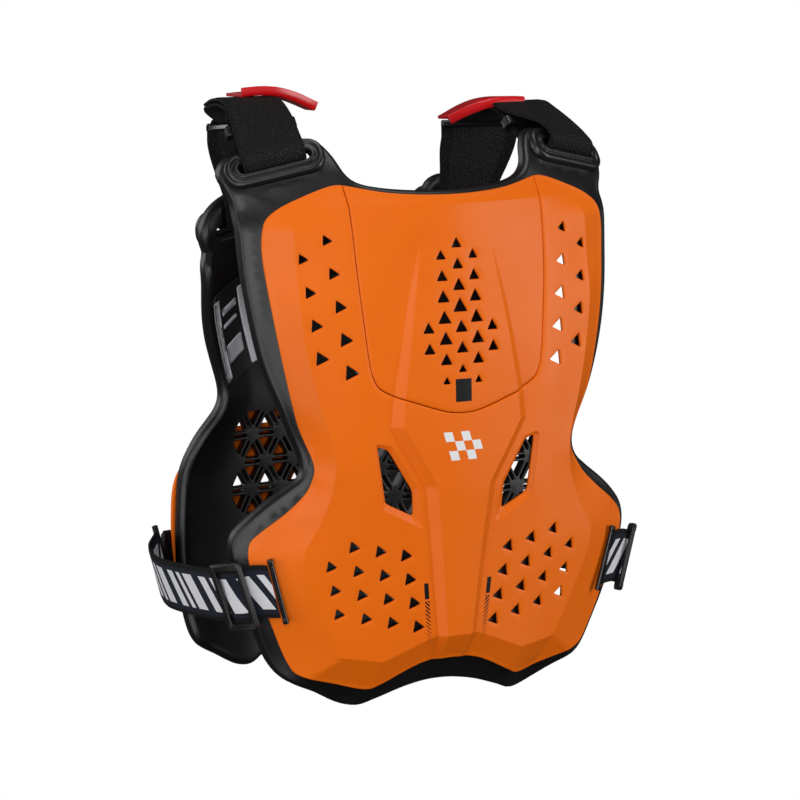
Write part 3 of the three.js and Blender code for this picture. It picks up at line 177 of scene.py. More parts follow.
# The flap inside the back liner, its plain pale marks and its red disc, as (x, z)
FLAP_OUTLINE = [(-132.0, -152.0), (-106.0, -231.0), (-61.5, -213.0), (-90.0, -134.0)]
FLAP_PRINTS = {
    "flap_bar_left": [(-130.5, -157.5), (-123.0, -155.0), (-99.5, -223.5), (-105.8, -227.3)],
    "flap_bar_right": [(-101.0, -147.0), (-93.0, -144.2), (-66.4, -212.8), (-73.4, -215.6)],
    "flap_stripe_upper": [(-116.5, -164.0), (-100.0, -155.5), (-98.2, -162.0), (-114.7, -170.5)],
    "flap_stripe_lower": [(-112.5, -178.0), (-96.0, -169.5), (-95.0, -173.4), (-111.5, -181.9)],
    "flap_field": [(-107.0, -196.0), (-88.5, -186.5), (-83.3, -202.5), (-101.8, -212.0)],
}
DISC_PLACE, DISC_RADIUS = (-69.56, -145.9), 11


# Curves and interpolation

def monotone(xs, ys, x):
    """A smooth curve through (xs, ys) that keeps between its neighbours."""
    xs, ys, x = np.asarray(xs, float), np.asarray(ys, float), np.asarray(x, float)
    h = np.diff(xs)
    slope = np.diff(ys) / h
    m = np.zeros(len(xs))
    same = slope[:-1] * slope[1:] > 0
    w1, w2 = 2 * h[1:] + h[:-1], h[1:] + 2 * h[:-1]
    with np.errstate(divide="ignore", invalid="ignore"):
        inner = (w1 + w2) / (w1 / slope[:-1] + w2 / slope[1:])
    m[1:-1] = np.where(same, inner, 0.0)
    m[0], m[-1] = slope[0], slope[-1]
    i = np.clip(np.searchsorted(xs, x) - 1, 0, len(xs) - 2)
    t = np.clip((x - xs[i]) / h[i], 0.0, 1.0)
    t2, t3 = t * t, t * t * t
    return ((2 * t3 - 3 * t2 + 1) * ys[i] + (t3 - 2 * t2 + t) * h[i] * m[i]
            + (3 * t2 - 2 * t3) * ys[i + 1] + (t3 - t2) * h[i] * m[i + 1])


def creased(rows, column, down, creases):
    """One column of a table, smooth down the panel but for its creased rows."""
    downs = [row[0] for row in rows]
    values = [row[column] for row in rows]
    cuts = [0] + [downs.index(c) for c in creases] + [len(rows) - 1]
    out = np.zeros_like(down)
    for k, (a, b) in enumerate(zip(cuts[:-1], cuts[1:])):
        low = downs[a] if k else -9.0
        high = downs[b] if k < len(cuts) - 2 else 9.0
        pick = (down >= low) & (down <= high)
        if b - a == 1:
            out[pick] = np.interp(down[pick], downs[a:b + 1], values[a:b + 1])
        elif pick.any():
            out[pick] = monotone(downs[a:b + 1], values[a:b + 1], down[pick])
    return out


SPLINE_STEPS = 12


def spline(points, step, closed=True, dims=2):
    """An even run of points on a smooth curve through the given ones, whose first columns are places."""
    pts = np.asarray(points, float)
    n = len(pts)
    out = []
    for i in range(n if closed else n - 1):
        p0 = pts[(i - 1) % n] if closed or i else 2 * pts[0] - pts[1]
        p1, p2 = pts[i], pts[(i + 1) % n]
        p3 = pts[(i + 2) % n] if closed or i + 2 < n else 2 * pts[-1] - pts[-2]
        knots = [0.0]
        for a, b in ((p0, p1), (p1, p2), (p2, p3)):
            knots.append(knots[-1] + max(np.linalg.norm((b - a)[:dims]), 1e-6) ** 0.5)
        t0, t1, t2, t3 = knots
        for t in np.linspace(t1, t2, SPLINE_STEPS, endpoint=False):
            mix = lambda a, b, ta, tb: (tb - t) / (tb - ta) * a + (t - ta) / (tb - ta) * b
            a1, a2, a3 = mix(p0, p1, t0, t1), mix(p1, p2, t1, t2), mix(p2, p3, t2, t3)
            out.append(mix(mix(a1, a2, t0, t2), mix(a2, a3, t1, t3), t1, t2))
    if not closed:
        out.append(pts[-1])
    return even(np.array(out), step, closed, dims)


def even(points, step, closed=True, dims=2):
    pts = np.vstack([points, points[:1]]) if closed else points
    length = np.concatenate([[0], np.cumsum(np.linalg.norm(np.diff(pts[:, :dims], axis=0), axis=1))])
    count = max(3, int(round(length[-1] / step)))
    places = np.linspace(0, length[-1], count + 1)
    if closed:
        places = places[:-1]
    return np.column_stack([np.interp(places, length, pts[:, k]) for k in range(pts.shape[1])])


def polygon(points, step, corner=1.2):
    """A polygon with small rounded corners, as an even loop."""
    pts = np.asarray(points, float)
    out = []
    for i, p in enumerate(pts):
        before, after = pts[i - 1] - p, pts[(i + 1) % len(pts)] - p
        before *= min(corner / np.linalg.norm(before), 0.45)
        after *= min(corner / np.linalg.norm(after), 0.45)
        for t in (0.0, 0.5, 1.0):
            out.append(p + before * (1 - t) ** 2 + after * t ** 2)
    return even(np.array(out), step)


def counterclockwise(loop):
    x, y = loop[:, 0], loop[:, 1]
    doubled_area = np.sum(x * np.roll(y, -1) - np.roll(x, -1) * y)
    return loop if doubled_area > 0 else loop[::-1].copy()


def normals_of(loop):
    """Outward normals of a counterclockwise loop."""
    edge = np.roll(loop, -1, 0) - loop
    edge /= np.maximum(np.linalg.norm(edge, axis=1), 1e-9)[:, None]
    side = np.column_stack([edge[:, 1], -edge[:, 0]])
    both = side + np.roll(side, 1, 0)
    length = np.maximum(np.linalg.norm(both, axis=1), 0.7)
    return both / length[:, None]


def inside(points, loop):
    x, y = points[:, 0][:, None], points[:, 1][:, None]
    x0, y0 = loop[:, 0][None], loop[:, 1][None]
    x1, y1 = np.roll(loop[:, 0], -1)[None], np.roll(loop[:, 1], -1)[None]
    with np.errstate(divide="ignore", invalid="ignore"):
        hits = ((y0 > y) != (y1 > y)) & (x < (x1 - x0) * (y - y0) / (y1 - y0) + x0)
    return hits.sum(axis=1) % 2 == 1


def to_plate(outline):
    """Chest plate points from shares of half its width and of its height."""
    return np.array([(h * SHELL_HALF, FRONT_TOP - d * SHELL_HEIGHT) for h, d in outline])


def distance_to(points, line):
    """The distance of each point to an open polyline."""
    best = np.full(len(points), 1e9)
    for a, b in zip(line[:-1], line[1:]):
        along = b - a
        t = np.clip(((points - a) @ along) / (along @ along), 0.0, 1.0)
        best = np.minimum(best, np.linalg.norm(points - a - t[:, None] * along, axis=1))
    return best


def both_halves(outline, half, top, height):
    right = [(h * half, top - d * height) for h, d in outline]
    left = [(-x, z) for x, z in reversed(right) if x > 0]
    return right + left


# Panels as depths over (x, z)

class Panel:
    def __init__(self, rows, creases, ridge, half, height, bow, top, reach, facing):
        self.rows, self.creases, self.ridge = rows, creases, ridge
        self.half, self.height, self.bow = half, height, bow
        self.top, self.reach, self.facing = top, reach, facing

    def column(self, index, z):
        return creased(self.rows, index, (self.top - z) / self.height, self.creases)

    def base(self, x, z):
        x = np.abs(x)
        share = {k: self.column(i, z) for i, k in enumerate(("c", "mx", "m", "ex", "e", "sx", "s"), 1)}
        mx, ex, sx = (share[k] * self.half for k in ("mx", "ex", "sx"))
        u = np.clip(x / ex, 0.0, 1.0)
        um = mx / ex
        curve_m = (share["m"] - share["c"]) / um ** 1.6
        inner = share["c"] + curve_m * np.minimum(u, um) ** 1.6
        slope_m = curve_m * 1.6 * um ** 0.6
        t = np.clip((u - um) / (1 - um), 0.0, 1.0)
        h = 1 - um
        slope_e = (share["e"] - share["m"]) / h
        outer = ((2 * t ** 3 - 3 * t ** 2 + 1) * share["m"] + (t ** 3 - 2 * t ** 2 + t) * h * slope_m
                 + (3 * t ** 2 - 2 * t ** 3) * share["e"] + (t ** 3 - t ** 2) * h * slope_e)
        plate = np.where(x <= ex, np.where(u < um, inner, outer), share["e"])
        side = (share["s"] - share["e"]) * np.clip((x - ex) / (sx - ex), 0.0, 1.0)
        past = np.maximum(x - sx, 0.0) / self.bow
        out = plate + np.maximum(side + past, self.fall_at(x, z) / self.bow)
        return self.facing * (self.reach - out * self.bow)

    def ridge_at(self, x, z):
        if not self.ridge:
            return np.zeros_like(x)
        down = (self.top - z) / self.height
        downs = [row[0] for row in self.ridge]
        foot, crest, rise = (np.interp(down, downs, [row[i] for row in self.ridge]) for i in (1, 2, 3))
        share = np.clip((foot * self.half - np.abs(x)) / ((foot - crest) * self.half), 0.0, 1.0)
        return share * rise * RIDGE_RISE * self.facing

    def fall_at(self, x, z):
        """How far the bottom facets fall back behind the plate."""
        if not self.ridge:
            return np.zeros_like(x)
        edge = to_plate(BOTTOM_FACET)
        low = z < np.interp(x, edge[:, 0], edge[:, 1])
        return np.where(low, distance_to(np.column_stack([x, z]), edge) * BOTTOM_SLOPE, 0.0)

    def bevels_at(self, x, z):
        """How far the bevels around the windows lie behind the plate."""
        if not self.ridge:
            return np.zeros_like(x)
        points = np.column_stack([np.abs(x), z])
        bevel, window = to_plate(BEVEL_OUTLINE), to_plate(WINDOW_OUTLINE)
        bevel_gap = distance_to(points, np.vstack([bevel, bevel[:1]]))
        window_gap = distance_to(points, np.vstack([window, window[:1]]))
        share = np.where(inside(points, window), 1.0, bevel_gap / np.maximum(bevel_gap + window_gap, 1e-6))
        return np.where(inside(points, bevel), share * BEVEL_DEPTH, 0.0)

    def face(self, x, z):
        return self.base(x, z) + self.ridge_at(x, z) - self.facing * self.bevels_at(x, z)


front = Panel(FRONT_SECTIONS, FRONT_CREASES, RIDGE_SECTIONS, SHELL_HALF, SHELL_HEIGHT, SHELL_BOW,
              FRONT_TOP, FRONT_REACH, -1)
back = Panel(BACK_SECTIONS, (), None, BACK_HALF, BACK_HEIGHT, BACK_BOW, BACK_TOP, BACK_REACH, 1)


def ring_frame(ring, sign):
    """Directions along the slot, up its slope and out of its face, and its middle."""
    along = Vector((1, ring["yaw"], -ring["tilt"])).normalized()
    lean = math.radians(ring["lean"])
    rise = Vector((0, math.sin(lean), math.cos(lean)))
    rise = (rise - along * rise.dot(along)).normalized()
    out = along.cross(rise) * -ring["facing"]
    centre = Vector((ring["out"], -ring["forward"], -ring["drop"]))
    mirror = lambda v: Vector((v.x * sign, v.y, v.z))
    return mirror(along), mirror(rise), mirror(out), mirror(centre)


def ring_point(ring, sign, along, rise, out):
    a, r, o, c = ring_frame(ring, sign)
    return c + a * along + r * rise + o * out


def lobe_plane(ring, x, z):
    _, _, out, centre = ring_frame(ring, 1)
    return centre.y - (out.x * (np.abs(x) - centre.x) + out.z * (z - centre.z)) / out.y


def smooth_step(value, low, high):
    t = np.clip((value - low) / (high - low), 0.0, 1.0)
    return t * t * (3 - 2 * t)


# How far the lobes' blend reaches: below the plate's top, past it, and up to the flat lobe
LOBE_BELOW, LOBE_PAST, LOBE_ABOVE = 14, 2, 22
# The rim is full thickness from the side facet, or from just under the plate's top.
RIM_INSIDE, RIM_BELOW = 12, 30


def foam_outer(panel, ring, x, z):
    """The foam's outer face: behind the plate, then on the ring's flat lobe above the plate's top."""
    inward = -panel.facing
    behind = panel.base(x, z) + inward * (SHELL_WALL + GAP)
    lobe = lobe_plane(ring, x, z)
    raised = behind + (lobe - behind) * smooth_step(z, panel.top - LOBE_BELOW, panel.top + LOBE_PAST)
    half_gap = (behind - raised) / 2
    deeper = (behind + raised) / 2 + inward * np.sqrt(half_gap ** 2 + 1.0)
    return deeper + (lobe - deeper) * smooth_step(z, panel.top, panel.top + LOBE_ABOVE)


def foam_thickness(panel, x, z):
    edge = panel.column(4, z) * panel.half
    side = panel.column(6, z) * panel.half
    share = np.maximum(smooth_step(np.abs(x), edge - RIM_INSIDE, side),
                       smooth_step(z, panel.top - RIM_BELOW, panel.top))
    return FOAM_MIDDLE + (FOAM_EDGE - FOAM_MIDDLE) * share


def softened(depth, reach=5.0):
    """A depth function averaged over a small neighbourhood, so that its kinks turn soft."""
    places = [(i * reach, j * reach) for i in (-1, 0, 1) for j in (-1, 0, 1)]
    return lambda x, z: sum(depth(x + i, z + j) for i, j in places) / len(places)


# Mesh building

def placed(name, data):
    item = bpy.data.objects.new(name, data)
    bpy.context.scene.collection.objects.link(item)
    return item


def tube_faces(rings, count):
    """The faces that join rings of vertices in a row, with a cap at either end."""
    faces = []
    for low in range(0, (rings - 1) * count, count):
        high = low + count
        faces += [(low + i, low + (i + 1) % count, high + (i + 1) % count, high + i) for i in range(count)]
    return faces + [tuple(range(count))[::-1], tuple(range((rings - 1) * count, rings * count))]


def make_mesh(name, verts, faces, uvs=None, sharp=40.0, plates=0, crease=9.0):
    """A mesh shaded smooth, with sharp edges past an angle: a lower one among its first faces, the plates."""
    mesh = bpy.data.meshes.new(name)
    mesh.from_pydata([tuple(v) for v in np.asarray(verts) * MM], [], faces)
    mesh.validate()
    if uvs is not None:
        layer = mesh.uv_layers.new(name="along")
        index = np.zeros(len(mesh.loops), dtype=np.int32)
        mesh.loops.foreach_get("vertex_index", index)
        layer.data.foreach_set("uv", np.asarray(uvs, np.float32)[index].ravel())
    built = bmesh.new()
    built.from_mesh(mesh)
    bmesh.ops.recalc_face_normals(built, faces=built.faces)
    for face in built.faces:
        face.smooth = True
    for edge in built.edges:
        if len(edge.link_faces) == 2:
            on_plate = all(face.index < plates for face in edge.link_faces)
            edge.smooth = edge.calc_face_angle() < math.radians(crease if on_plate else sharp)
    built.to_mesh(mesh)
    built.free()
    return placed(name, mesh)


def triangulate(outer, holes, lines, step):
    """Points and triangles inside a loop, outside its holes and along its inner lines."""
    loops = [outer, *holes]
    low, high = outer.min(0), outer.max(0)
    rows = np.arange(low[1], high[1], step * 0.87)
    cols = np.arange(low[0], high[0], step)
    grid = np.array([(x + (k % 2) * step / 2, z) for k, z in enumerate(rows) for x in cols])
    keep = inside(grid, outer)
    for hole in holes:
        near = np.all((grid > hole.min(0) - step) & (grid < hole.max(0) + step), axis=1)
        keep[near] &= ~inside(grid[near], hole)
    grid = grid[keep]
    fixed = np.vstack([*loops, *lines]) if lines else np.vstack(loops)
    clear = np.ones(len(grid), bool)
    for start in range(0, len(grid), 2000):
        part = grid[start:start + 2000]
        gap = np.min(np.linalg.norm(part[:, None] - fixed[None], axis=2), axis=1)
        clear[start:start + 2000] = gap > step * 0.55
    grid = grid[clear]
    points = np.vstack([fixed, grid])
    edges, at = [], 0
    for loop in loops:
        n = len(loop)
        edges += [(at + i, at + (i + 1) % n) for i in range(n)]
        at += n
    for line in lines:
        n = len(line)
        edges += [(at + i, at + i + 1) for i in range(n - 1)]
        at += n
    found = delaunay_2d_cdt([Vector(p) for p in points], edges, [], 0, 1e-4)
    pts = np.array([tuple(p) for p in found[0]])
    tris = np.array([f for f in found[2] if len(f) == 3])
    middle = pts[tris].mean(axis=1)
    keep = inside(middle, outer)
    for hole in holes:
        near = np.all((middle > hole.min(0)) & (middle < hole.max(0)), axis=1)
        keep[near] &= ~inside(middle[near], hole)
    return pts, tris[keep]


def slab(name, outer, holes, lines, step, near, far, radius, rounds=3, crease=7.0):
    """A plate between two depths, with rounded rims on its outline and its holes."""
    loops = [counterclockwise(outer)] + [counterclockwise(hole) for hole in holes]
    outs = [normals_of(loops[0])] + [-normals_of(hole) for hole in loops[1:]]
    sizes = [radius] + [min(radius, HOLE_RADIUS)] * len(holes)
    insets = [loop - n * r for loop, n, r in zip(loops, outs, sizes)]
    pts, tris = triangulate(insets[0], insets[1:], clip_lines(lines, insets), step)
    x, z = pts[:, 0], pts[:, 1]
    close, away = near(x, z), far(x, z)
    inward = np.sign(np.mean(away - close))
    verts = [np.column_stack([x, close, z]), np.column_stack([x, away, z])]
    n = len(pts)
    faces = [tuple(t) for t in tris] + [tuple(t[::-1] + n) for t in tris]
    at = 2 * n
    for loop, out, inset, size in zip(loops, outs, insets, sizes):
        keys = np.array([np.argmin(np.sum((pts - p) ** 2, axis=1)) for p in inset])
        y0, y1 = close[keys], away[keys]
        span = np.abs(y1 - y0)
        deep = np.minimum(size, span / 2)
        rings = [keys]
        for side in (0, 1):
            angles = np.linspace(0, math.pi / 2, rounds + 1)[1:]
            for angle in angles if side == 0 else angles[::-1]:
                place = inset + out * size * math.sin(angle)
                drop = deep * (1 - math.cos(angle))
                y = y0 + inward * drop if side == 0 else y1 - inward * drop
                verts.append(np.column_stack([place[:, 0], y, place[:, 1]]))
                rings.append(np.arange(at, at + len(keys)))
                at += len(keys)
        rings.append(keys + n)
        for ra, rb in zip(rings[:-1], rings[1:]):
            m = len(keys)
            for i in range(m):
                j = (i + 1) % m
                faces.append((int(ra[i]), int(ra[j]), int(rb[j]), int(rb[i])))
    return make_mesh(name, np.vstack(verts), faces, plates=2 * len(tris), crease=crease)


def clip_lines(lines, loops):
    """Keeps the stretches of inner lines that lie inside the outline and clear of the holes."""
    kept = []
    for line in lines:
        ok = inside(line, loops[0])
        gap = np.min(np.linalg.norm(line[:, None] - np.vstack(loops)[None], axis=2), axis=1)
        ok &= gap > 1.0
        for hole in loops[1:]:
            ok &= ~inside(line, hole)
        run = []
        for point, good in zip(line, ok):
            if good:
                run.append(point)
            elif run:
                kept.append(np.array(run))
                run = []
        if run:
            kept.append(np.array(run))
    return [line for line in kept if len(line) > 1]


def mirrored(line):
    return np.column_stack([-line[:, 0], line[:, 1]])


def vent(x, z, side, turn, step=1.2, corner=0.7):
    """A triangular vent that leans outward on its side of the plate."""
    angle = math.radians(90 - turn * (1 if x > 0 else -1 if x < 0 else 0))
    radius = side / math.sqrt(3)
    points = [(x + radius * math.cos(angle + k * 2.0944), z + radius * math.sin(angle + k * 2.0944))
              for k in range(3)]
    return polygon(points, step, corner)


def vents_upper():
    places = []
    for count, half, down in ((5, 0.627, 0.1025), (4, 0.741, 0.1375)):
        for i in range(count):
            places.append((half * SHELL_HALF - i * 3.3, FRONT_TOP - down * SHELL_HEIGHT - i * 25.5,
                           9.0 + i * 0.9))
    return [(sign * x, z, s, 25) for x, z, s in places for sign in (-1, 1)]


def vents_lower():
    places = []
    for row in range(4):
        for i in range(3 if row == 0 else 4):
            places.append((0.277 * SHELL_HALF - row * 4 + i * 21.5,
                           FRONT_TOP - 0.725 * SHELL_HEIGHT - row * 19.5 + i * 4.7, 11.0 - i * 0.4))
    return [(sign * x, z, s, 22) for x, z, s in places for sign in (-1, 1)]


def vents_centre():
    places = []
    for count, step, down, shares in (
        (7, 0, 0.1175, (0.8, 0.85, 0.95, 1.1, 0.95, 0.9, 0.65)),
        (7, 1, 0.14, (0.75, 0.85, 0.95, 1.0, 1.0, 0.9, 0.6)),
        (2, 2, 0.28, (0.85, 0.85)),
    ):
        for i in range(count):
            for sign in ((0,) if step == 0 else (-1, 1)):
                places.append((sign * step * 14.0, FRONT_TOP - down * SHELL_HEIGHT - i * 16.2,
                               12.0 * shares[i], 0))
    return places


def seam_sides(gap):
    """The seam from its upper left end round the bottom to its upper right end."""
    right = [(h * SHELL_HALF - gap * (h > 0), FRONT_TOP + gap * (d > 0.1) - d * SHELL_HEIGHT)
             for h, d in SEAM_OUTLINE[1:]]
    right[0] = (0.51 * SHELL_HALF - gap, FRONT_TOP)
    return spline([(-x, z) for x, z in right[:-1]] + [right[-1]] + right[-2::-1], 3.0, closed=False)


def front_lines():
    """Inner lines of the chest plate: its plateau edges, its rim lines, its ridge and its bevels."""
    z = np.arange(FRONT_TOP - SHELL_HEIGHT, FRONT_TOP, 3.0)
    right = [np.column_stack([front.column(4, z) * SHELL_HALF, z])]
    down = (FRONT_TOP - z) / SHELL_HEIGHT
    low = z[down > 0.11]
    for column in (1, 2):
        share = np.interp((FRONT_TOP - low) / SHELL_HEIGHT, [row[0] for row in RIDGE_SECTIONS],
                          [row[column] for row in RIDGE_SECTIONS])
        right.append(np.column_stack([share * SHELL_HALF, low]))
    across = np.arange(-SHELL_HALF, SHELL_HALF, 3.0)
    level = [np.column_stack([across, np.full_like(across, FRONT_TOP - d * SHELL_HEIGHT)])
             for d in FRONT_CREASES]
    facet, bevel = to_plate(BOTTOM_FACET), to_plate(BEVEL_OUTLINE)
    corners = [np.vstack([a, b]) for a, b in zip(facet[:-2], facet[1:-1])]
    corners.append(np.vstack([facet[-2], to_plate([BOTTOM_CORNER])[0]]))
    corners += [np.vstack([a, b]) for a, b in zip(bevel, np.roll(bevel, -1, 0))]
    right += [even(pair, 3.0, closed=False) for pair in corners]
    return right + [mirrored(line) for line in right] + level


def window_loops():
    right = polygon(to_plate(WINDOW_OUTLINE), 2.0, 2.5)
    return [right, mirrored(right)]


def front_behind(x, z):
    return front.face(x, z) + SHELL_WALL


def build_front_shell():
    outline = [(h * SHELL_HALF, FRONT_TOP - d * SHELL_HEIGHT) for h, d in SHELL_OUTLINE[2:]]
    around = outline + [(-x, z) for x, z in reversed(outline) if x > 0]
    rim = spline(around, 3.0, closed=False)
    loop = np.vstack([rim[:-1], seam_sides(0.0)[:-1]])
    holes = window_loops() + [vent(*v) for v in vents_upper() + vents_lower()]
    return slab("chest_plate", loop, holes, front_lines(), 4.0, front.face, front_behind, 1.2)


def build_centre_panel():
    top = spline([(-0.51 * SHELL_HALF + SEAM_GAP, FRONT_TOP), (-0.3 * SHELL_HALF, FRONT_TOP - 6.4),
                  (0, FRONT_TOP - 8.8), (0.3 * SHELL_HALF, FRONT_TOP - 6.4),
                  (0.51 * SHELL_HALF - SEAM_GAP, FRONT_TOP)], 3.0, closed=False)
    loop = np.vstack([top[:-1], seam_sides(SEAM_GAP)[::-1][:-1]])
    return slab("chest_insert", loop, [vent(*v) for v in vents_centre()], front_lines(), 4.0,
                front.face, front_behind, 1.2)


def lattice(top, rows, half):
    """A band of pierced triangles that point up and down by turns, with slits between them."""
    height = LATTICE_SIDE * math.sqrt(3) / 2
    step = LATTICE_SIDE / 2
    count = int(half / step)
    turned = lambda points, x, z: polygon([(x + p, z + q) for p, q in points], 2.0, 1.2)
    radius = LATTICE_HOLE / math.sqrt(3)
    holes = []
    for row in range(rows):
        z = top - row * height
        for i in range(-count, count + 1):
            up = 1 if (i + row) % 2 == 0 else -1
            corners = [(radius * math.cos(a), up * radius * math.sin(a))
                       for a in (math.pi / 2, math.pi * 7 / 6, math.pi * 11 / 6)]
            holes.append(turned(corners, i * step, z - up * height / 6))
            angles = [-up * math.pi / 3] if i < count else []
            places = [((i + 0.5) * step, z)] if i < count else []
            if up > 0 and row < rows - 1:
                angles.append(0.0)
                places.append((i * step, z - height / 2))
            for angle, (x, middle) in zip(angles, places):
                cos, sin = math.cos(angle), math.sin(angle)
                box = [(SLIT_LENGTH / 2 * a, SLIT_WIDTH / 2 * b)
                       for a, b in ((1, 1), (-1, 1), (-1, -1), (1, -1))]
                holes.append(turned([(p * cos - q * sin, p * sin + q * cos) for p, q in box], x, middle))
    return holes


def slot_holes(ring, length, height, shift):
    """Openings through a liner's lobes under both of its slot frames."""
    along = np.array([1, -ring["tilt"]]) / math.hypot(1, ring["tilt"])
    up = np.array([-along[1], along[0]])
    centre = np.array([ring["out"], -ring["drop"]]) + shift
    loop = racetrack(length, height, height / 2 - 0.1)
    right = even(centre + loop[:, :1] * along + loop[:, 1:] * up, 2.0)
    return [right, mirrored(right)]


# The places in their lists of the right side's vents that show daylight
THROUGH_UPPER, THROUGH_LOWER = (3, 5, 7, 9), (21, 29)


def through_vents():
    """The vents that go on through the chest liner: all on the left, and six on the right."""
    left = [v for v in vents_upper() + vents_lower() if v[0] < 0]
    right = [vents_upper()[k] for k in THROUGH_UPPER] + [vents_lower()[k] for k in THROUGH_LOWER]
    holes = [vent(x, z, side + 7, turn, 2.0, 2.0) for x, z, side, turn in left]
    return holes + [vent(x + 4.5, z, side + 9, turn, 2.0, 2.0) for x, z, side, turn in right]


def build_liner(name, panel, ring, outline, half, top, height, holes):
    loop = spline(both_halves(outline, half, top, height), 4.0)
    near = softened(lambda x, z: foam_outer(panel, ring, x, z))
    far = lambda x, z: near(x, z) - panel.facing * foam_thickness(panel, x, z)
    return slab(name, loop, holes, [], 5.0, near, far, 5.0, rounds=4, crease=25.0)


def build_front_liner():
    holes = lattice(FRONT_LATTICE_TOP, 3, LATTICE_HALF) + through_vents()
    holes += slot_holes(FRONT_RING, 62.0, 15.0, (-2.0, -3.3))
    return build_liner("chest_foam", front, FRONT_RING, FRONT_FOAM_OUTLINE, FRONT_FOAM_HALF, FRONT_FOAM_TOP,
                       FRONT_FOAM_HEIGHT, holes)


def build_back_liner():
    holes = lattice(BACK_LATTICE_TOP, 4, LATTICE_HALF) + slot_holes(BACK_RING, 62.0, 12.0, (-2.0, -1.0))
    return build_liner("back_foam", back, BACK_RING, BACK_FOAM_OUTLINE, BACK_FOAM_HALF, BACK_FOAM_TOP,
                       BACK_FOAM_HEIGHT, holes)


def build_back_shell():
    loop = spline(both_halves(BACK_OUTLINE, BACK_HALF, BACK_TOP, BACK_HEIGHT), 3.0)
    holes = [vent(sign * half * BACK_HALF, BACK_TOP - down * BACK_HEIGHT, 15.0, 0)
             for down in (0.16, 0.31, 0.46, 0.61, 0.76) for half in (0.12, 0.32, 0.52) for sign in (-1, 1)]
    z = np.arange(BACK_TOP - BACK_HEIGHT, BACK_TOP, 4.0)
    edge = np.column_stack([back.column(4, z) * BACK_HALF, z])
    near = back.face
    far = lambda x, z: back.face(x, z) - SHELL_WALL
    return slab("back_plate", loop, holes, [edge, mirrored(edge)], 5.0, near, far, 1.2)


# Straps along smooth paths

def strap_path(chosen, step=2.5):
    """Even stations (point, across) on a smooth curve through the chosen ones."""
    rows = np.array([[*p, *a] for p, a in chosen], float)
    return spline(rows, step, closed=False, dims=3)


def lay(stations, profile, name, taper=None):
    """Sweeps a closed profile of (across, out) millimetres along the stations, with UVs in millimetres."""
    points, sides = stations[:, :3], stations[:, 3:]
    along = np.gradient(points, axis=0)
    along /= np.linalg.norm(along, axis=1)[:, None]
    sides = sides / np.linalg.norm(sides, axis=1)[:, None]
    normals = np.cross(sides, along)
    normals /= np.linalg.norm(normals, axis=1)[:, None]
    length = np.concatenate([[0], np.cumsum(np.linalg.norm(np.diff(points, axis=0), axis=1))])
    profile = np.asarray(profile, float)
    n, m = len(points), len(profile)
    share = np.ones(n) if taper is None else taper(length / length[-1])
    verts, uvs = [], []
    for i in range(n):
        verts.append(points[i] + profile[:, :1] * share[i] * sides[i] + profile[:, 1:] * normals[i])
        uvs.append(np.column_stack([profile[:, 0], np.full(m, length[i])]))
    return make_mesh(name, np.vstack(verts), tube_faces(n, m), np.vstack(uvs), sharp=50.0)


def webbing_profile(width, thickness, columns=12, selvage=0.15):
    """A flat strap's section with rounded, slightly thicker edges."""
    x = np.linspace(-1, 1, columns + 1)
    half = thickness / 2 * (1 + selvage * np.abs(x) ** 8) * np.where(np.abs(x) > 0.99, 0.55, 1.0)
    upper = np.column_stack([x * width / 2, half])
    return np.vstack([upper, np.column_stack([x[::-1] * width / 2, -half[::-1]])])


# The shoulder straps' crests and the bars they fold over, and how much higher the left ones sit
CREST_OUT = 122
BAR_OUT, BAR_BEHIND, BAR_LEVEL, BAR_LIFT = 109, 50, -17, 3.4 / 6
FOLD_RADIUS = 4.5
STRAP_LIFT = 6


def shoulder_chosen(sign, lift):
    """The places on a shoulder strap, and the frame of the loop that holds its layers."""
    ring = lambda rise, out: (ring_point(FRONT_RING, sign, 0, rise, out), ring_frame(FRONT_RING, sign)[0])
    crest = lambda back_by, up: ((sign * CREST_OUT, back_by, lift + up), (sign, 0, 0))
    path = [(34, -6), (20, -1), (6, 0), (-8, -3.5)]
    high = [crest(b, u + 5.5) for b, u in path]
    low = [crest(b, u + 1.5) for b, u in reversed(path)]
    leave = ring(15, -17.5)
    run = Vector(low[0][0]) - leave[0]
    run.normalize()
    between = leave[1] + Vector(low[0][1])
    across = (between - run * run.dot(between)).normalized()
    middle = leave[0].lerp(Vector(low[0][0]), 0.62)
    loop = [(middle + run * (share * 9), across) for share in (-0.6, 0, 0.6)]
    stations = high + [ring(15, 8.8), ring(3, 11.8), ring(-2.2, 6.9), ring(-2.2, 0), ring(-2.2, -14.5),
                       ring(3, -17.9), leave] + loop + low + fold_chosen(sign, lift)
    return stations, (middle, across, run)


def bar_place(sign, lift):
    return Vector((sign * BAR_OUT, BAR_BEHIND, BAR_LEVEL + lift * BAR_LIFT))


def bar_across(sign):
    return Vector((sign, BACK_RING["yaw"], 0)).normalized()


def fold_chosen(sign, lift):
    """The strap round the bar, from the front over the top and down behind it."""
    across = bar_across(sign)
    behind = Vector((0, 0, 1)).cross(across) * sign
    corners = [(140, -0.3, 1.3), (90, 0, 1.3), (45, 0.3, 1.3), (0, 0.3, 1.3), (0, 0.3, -1.3), (0, 0.3, -7)]
    stations = []
    for angle, back_by, up in corners:
        turn = math.radians(angle)
        point = bar_place(sign, lift) + behind * (back_by + FOLD_RADIUS * math.cos(turn))
        stations.append((point + Vector((0, 0, up + FOLD_RADIUS * math.sin(turn))), across))
    return stations


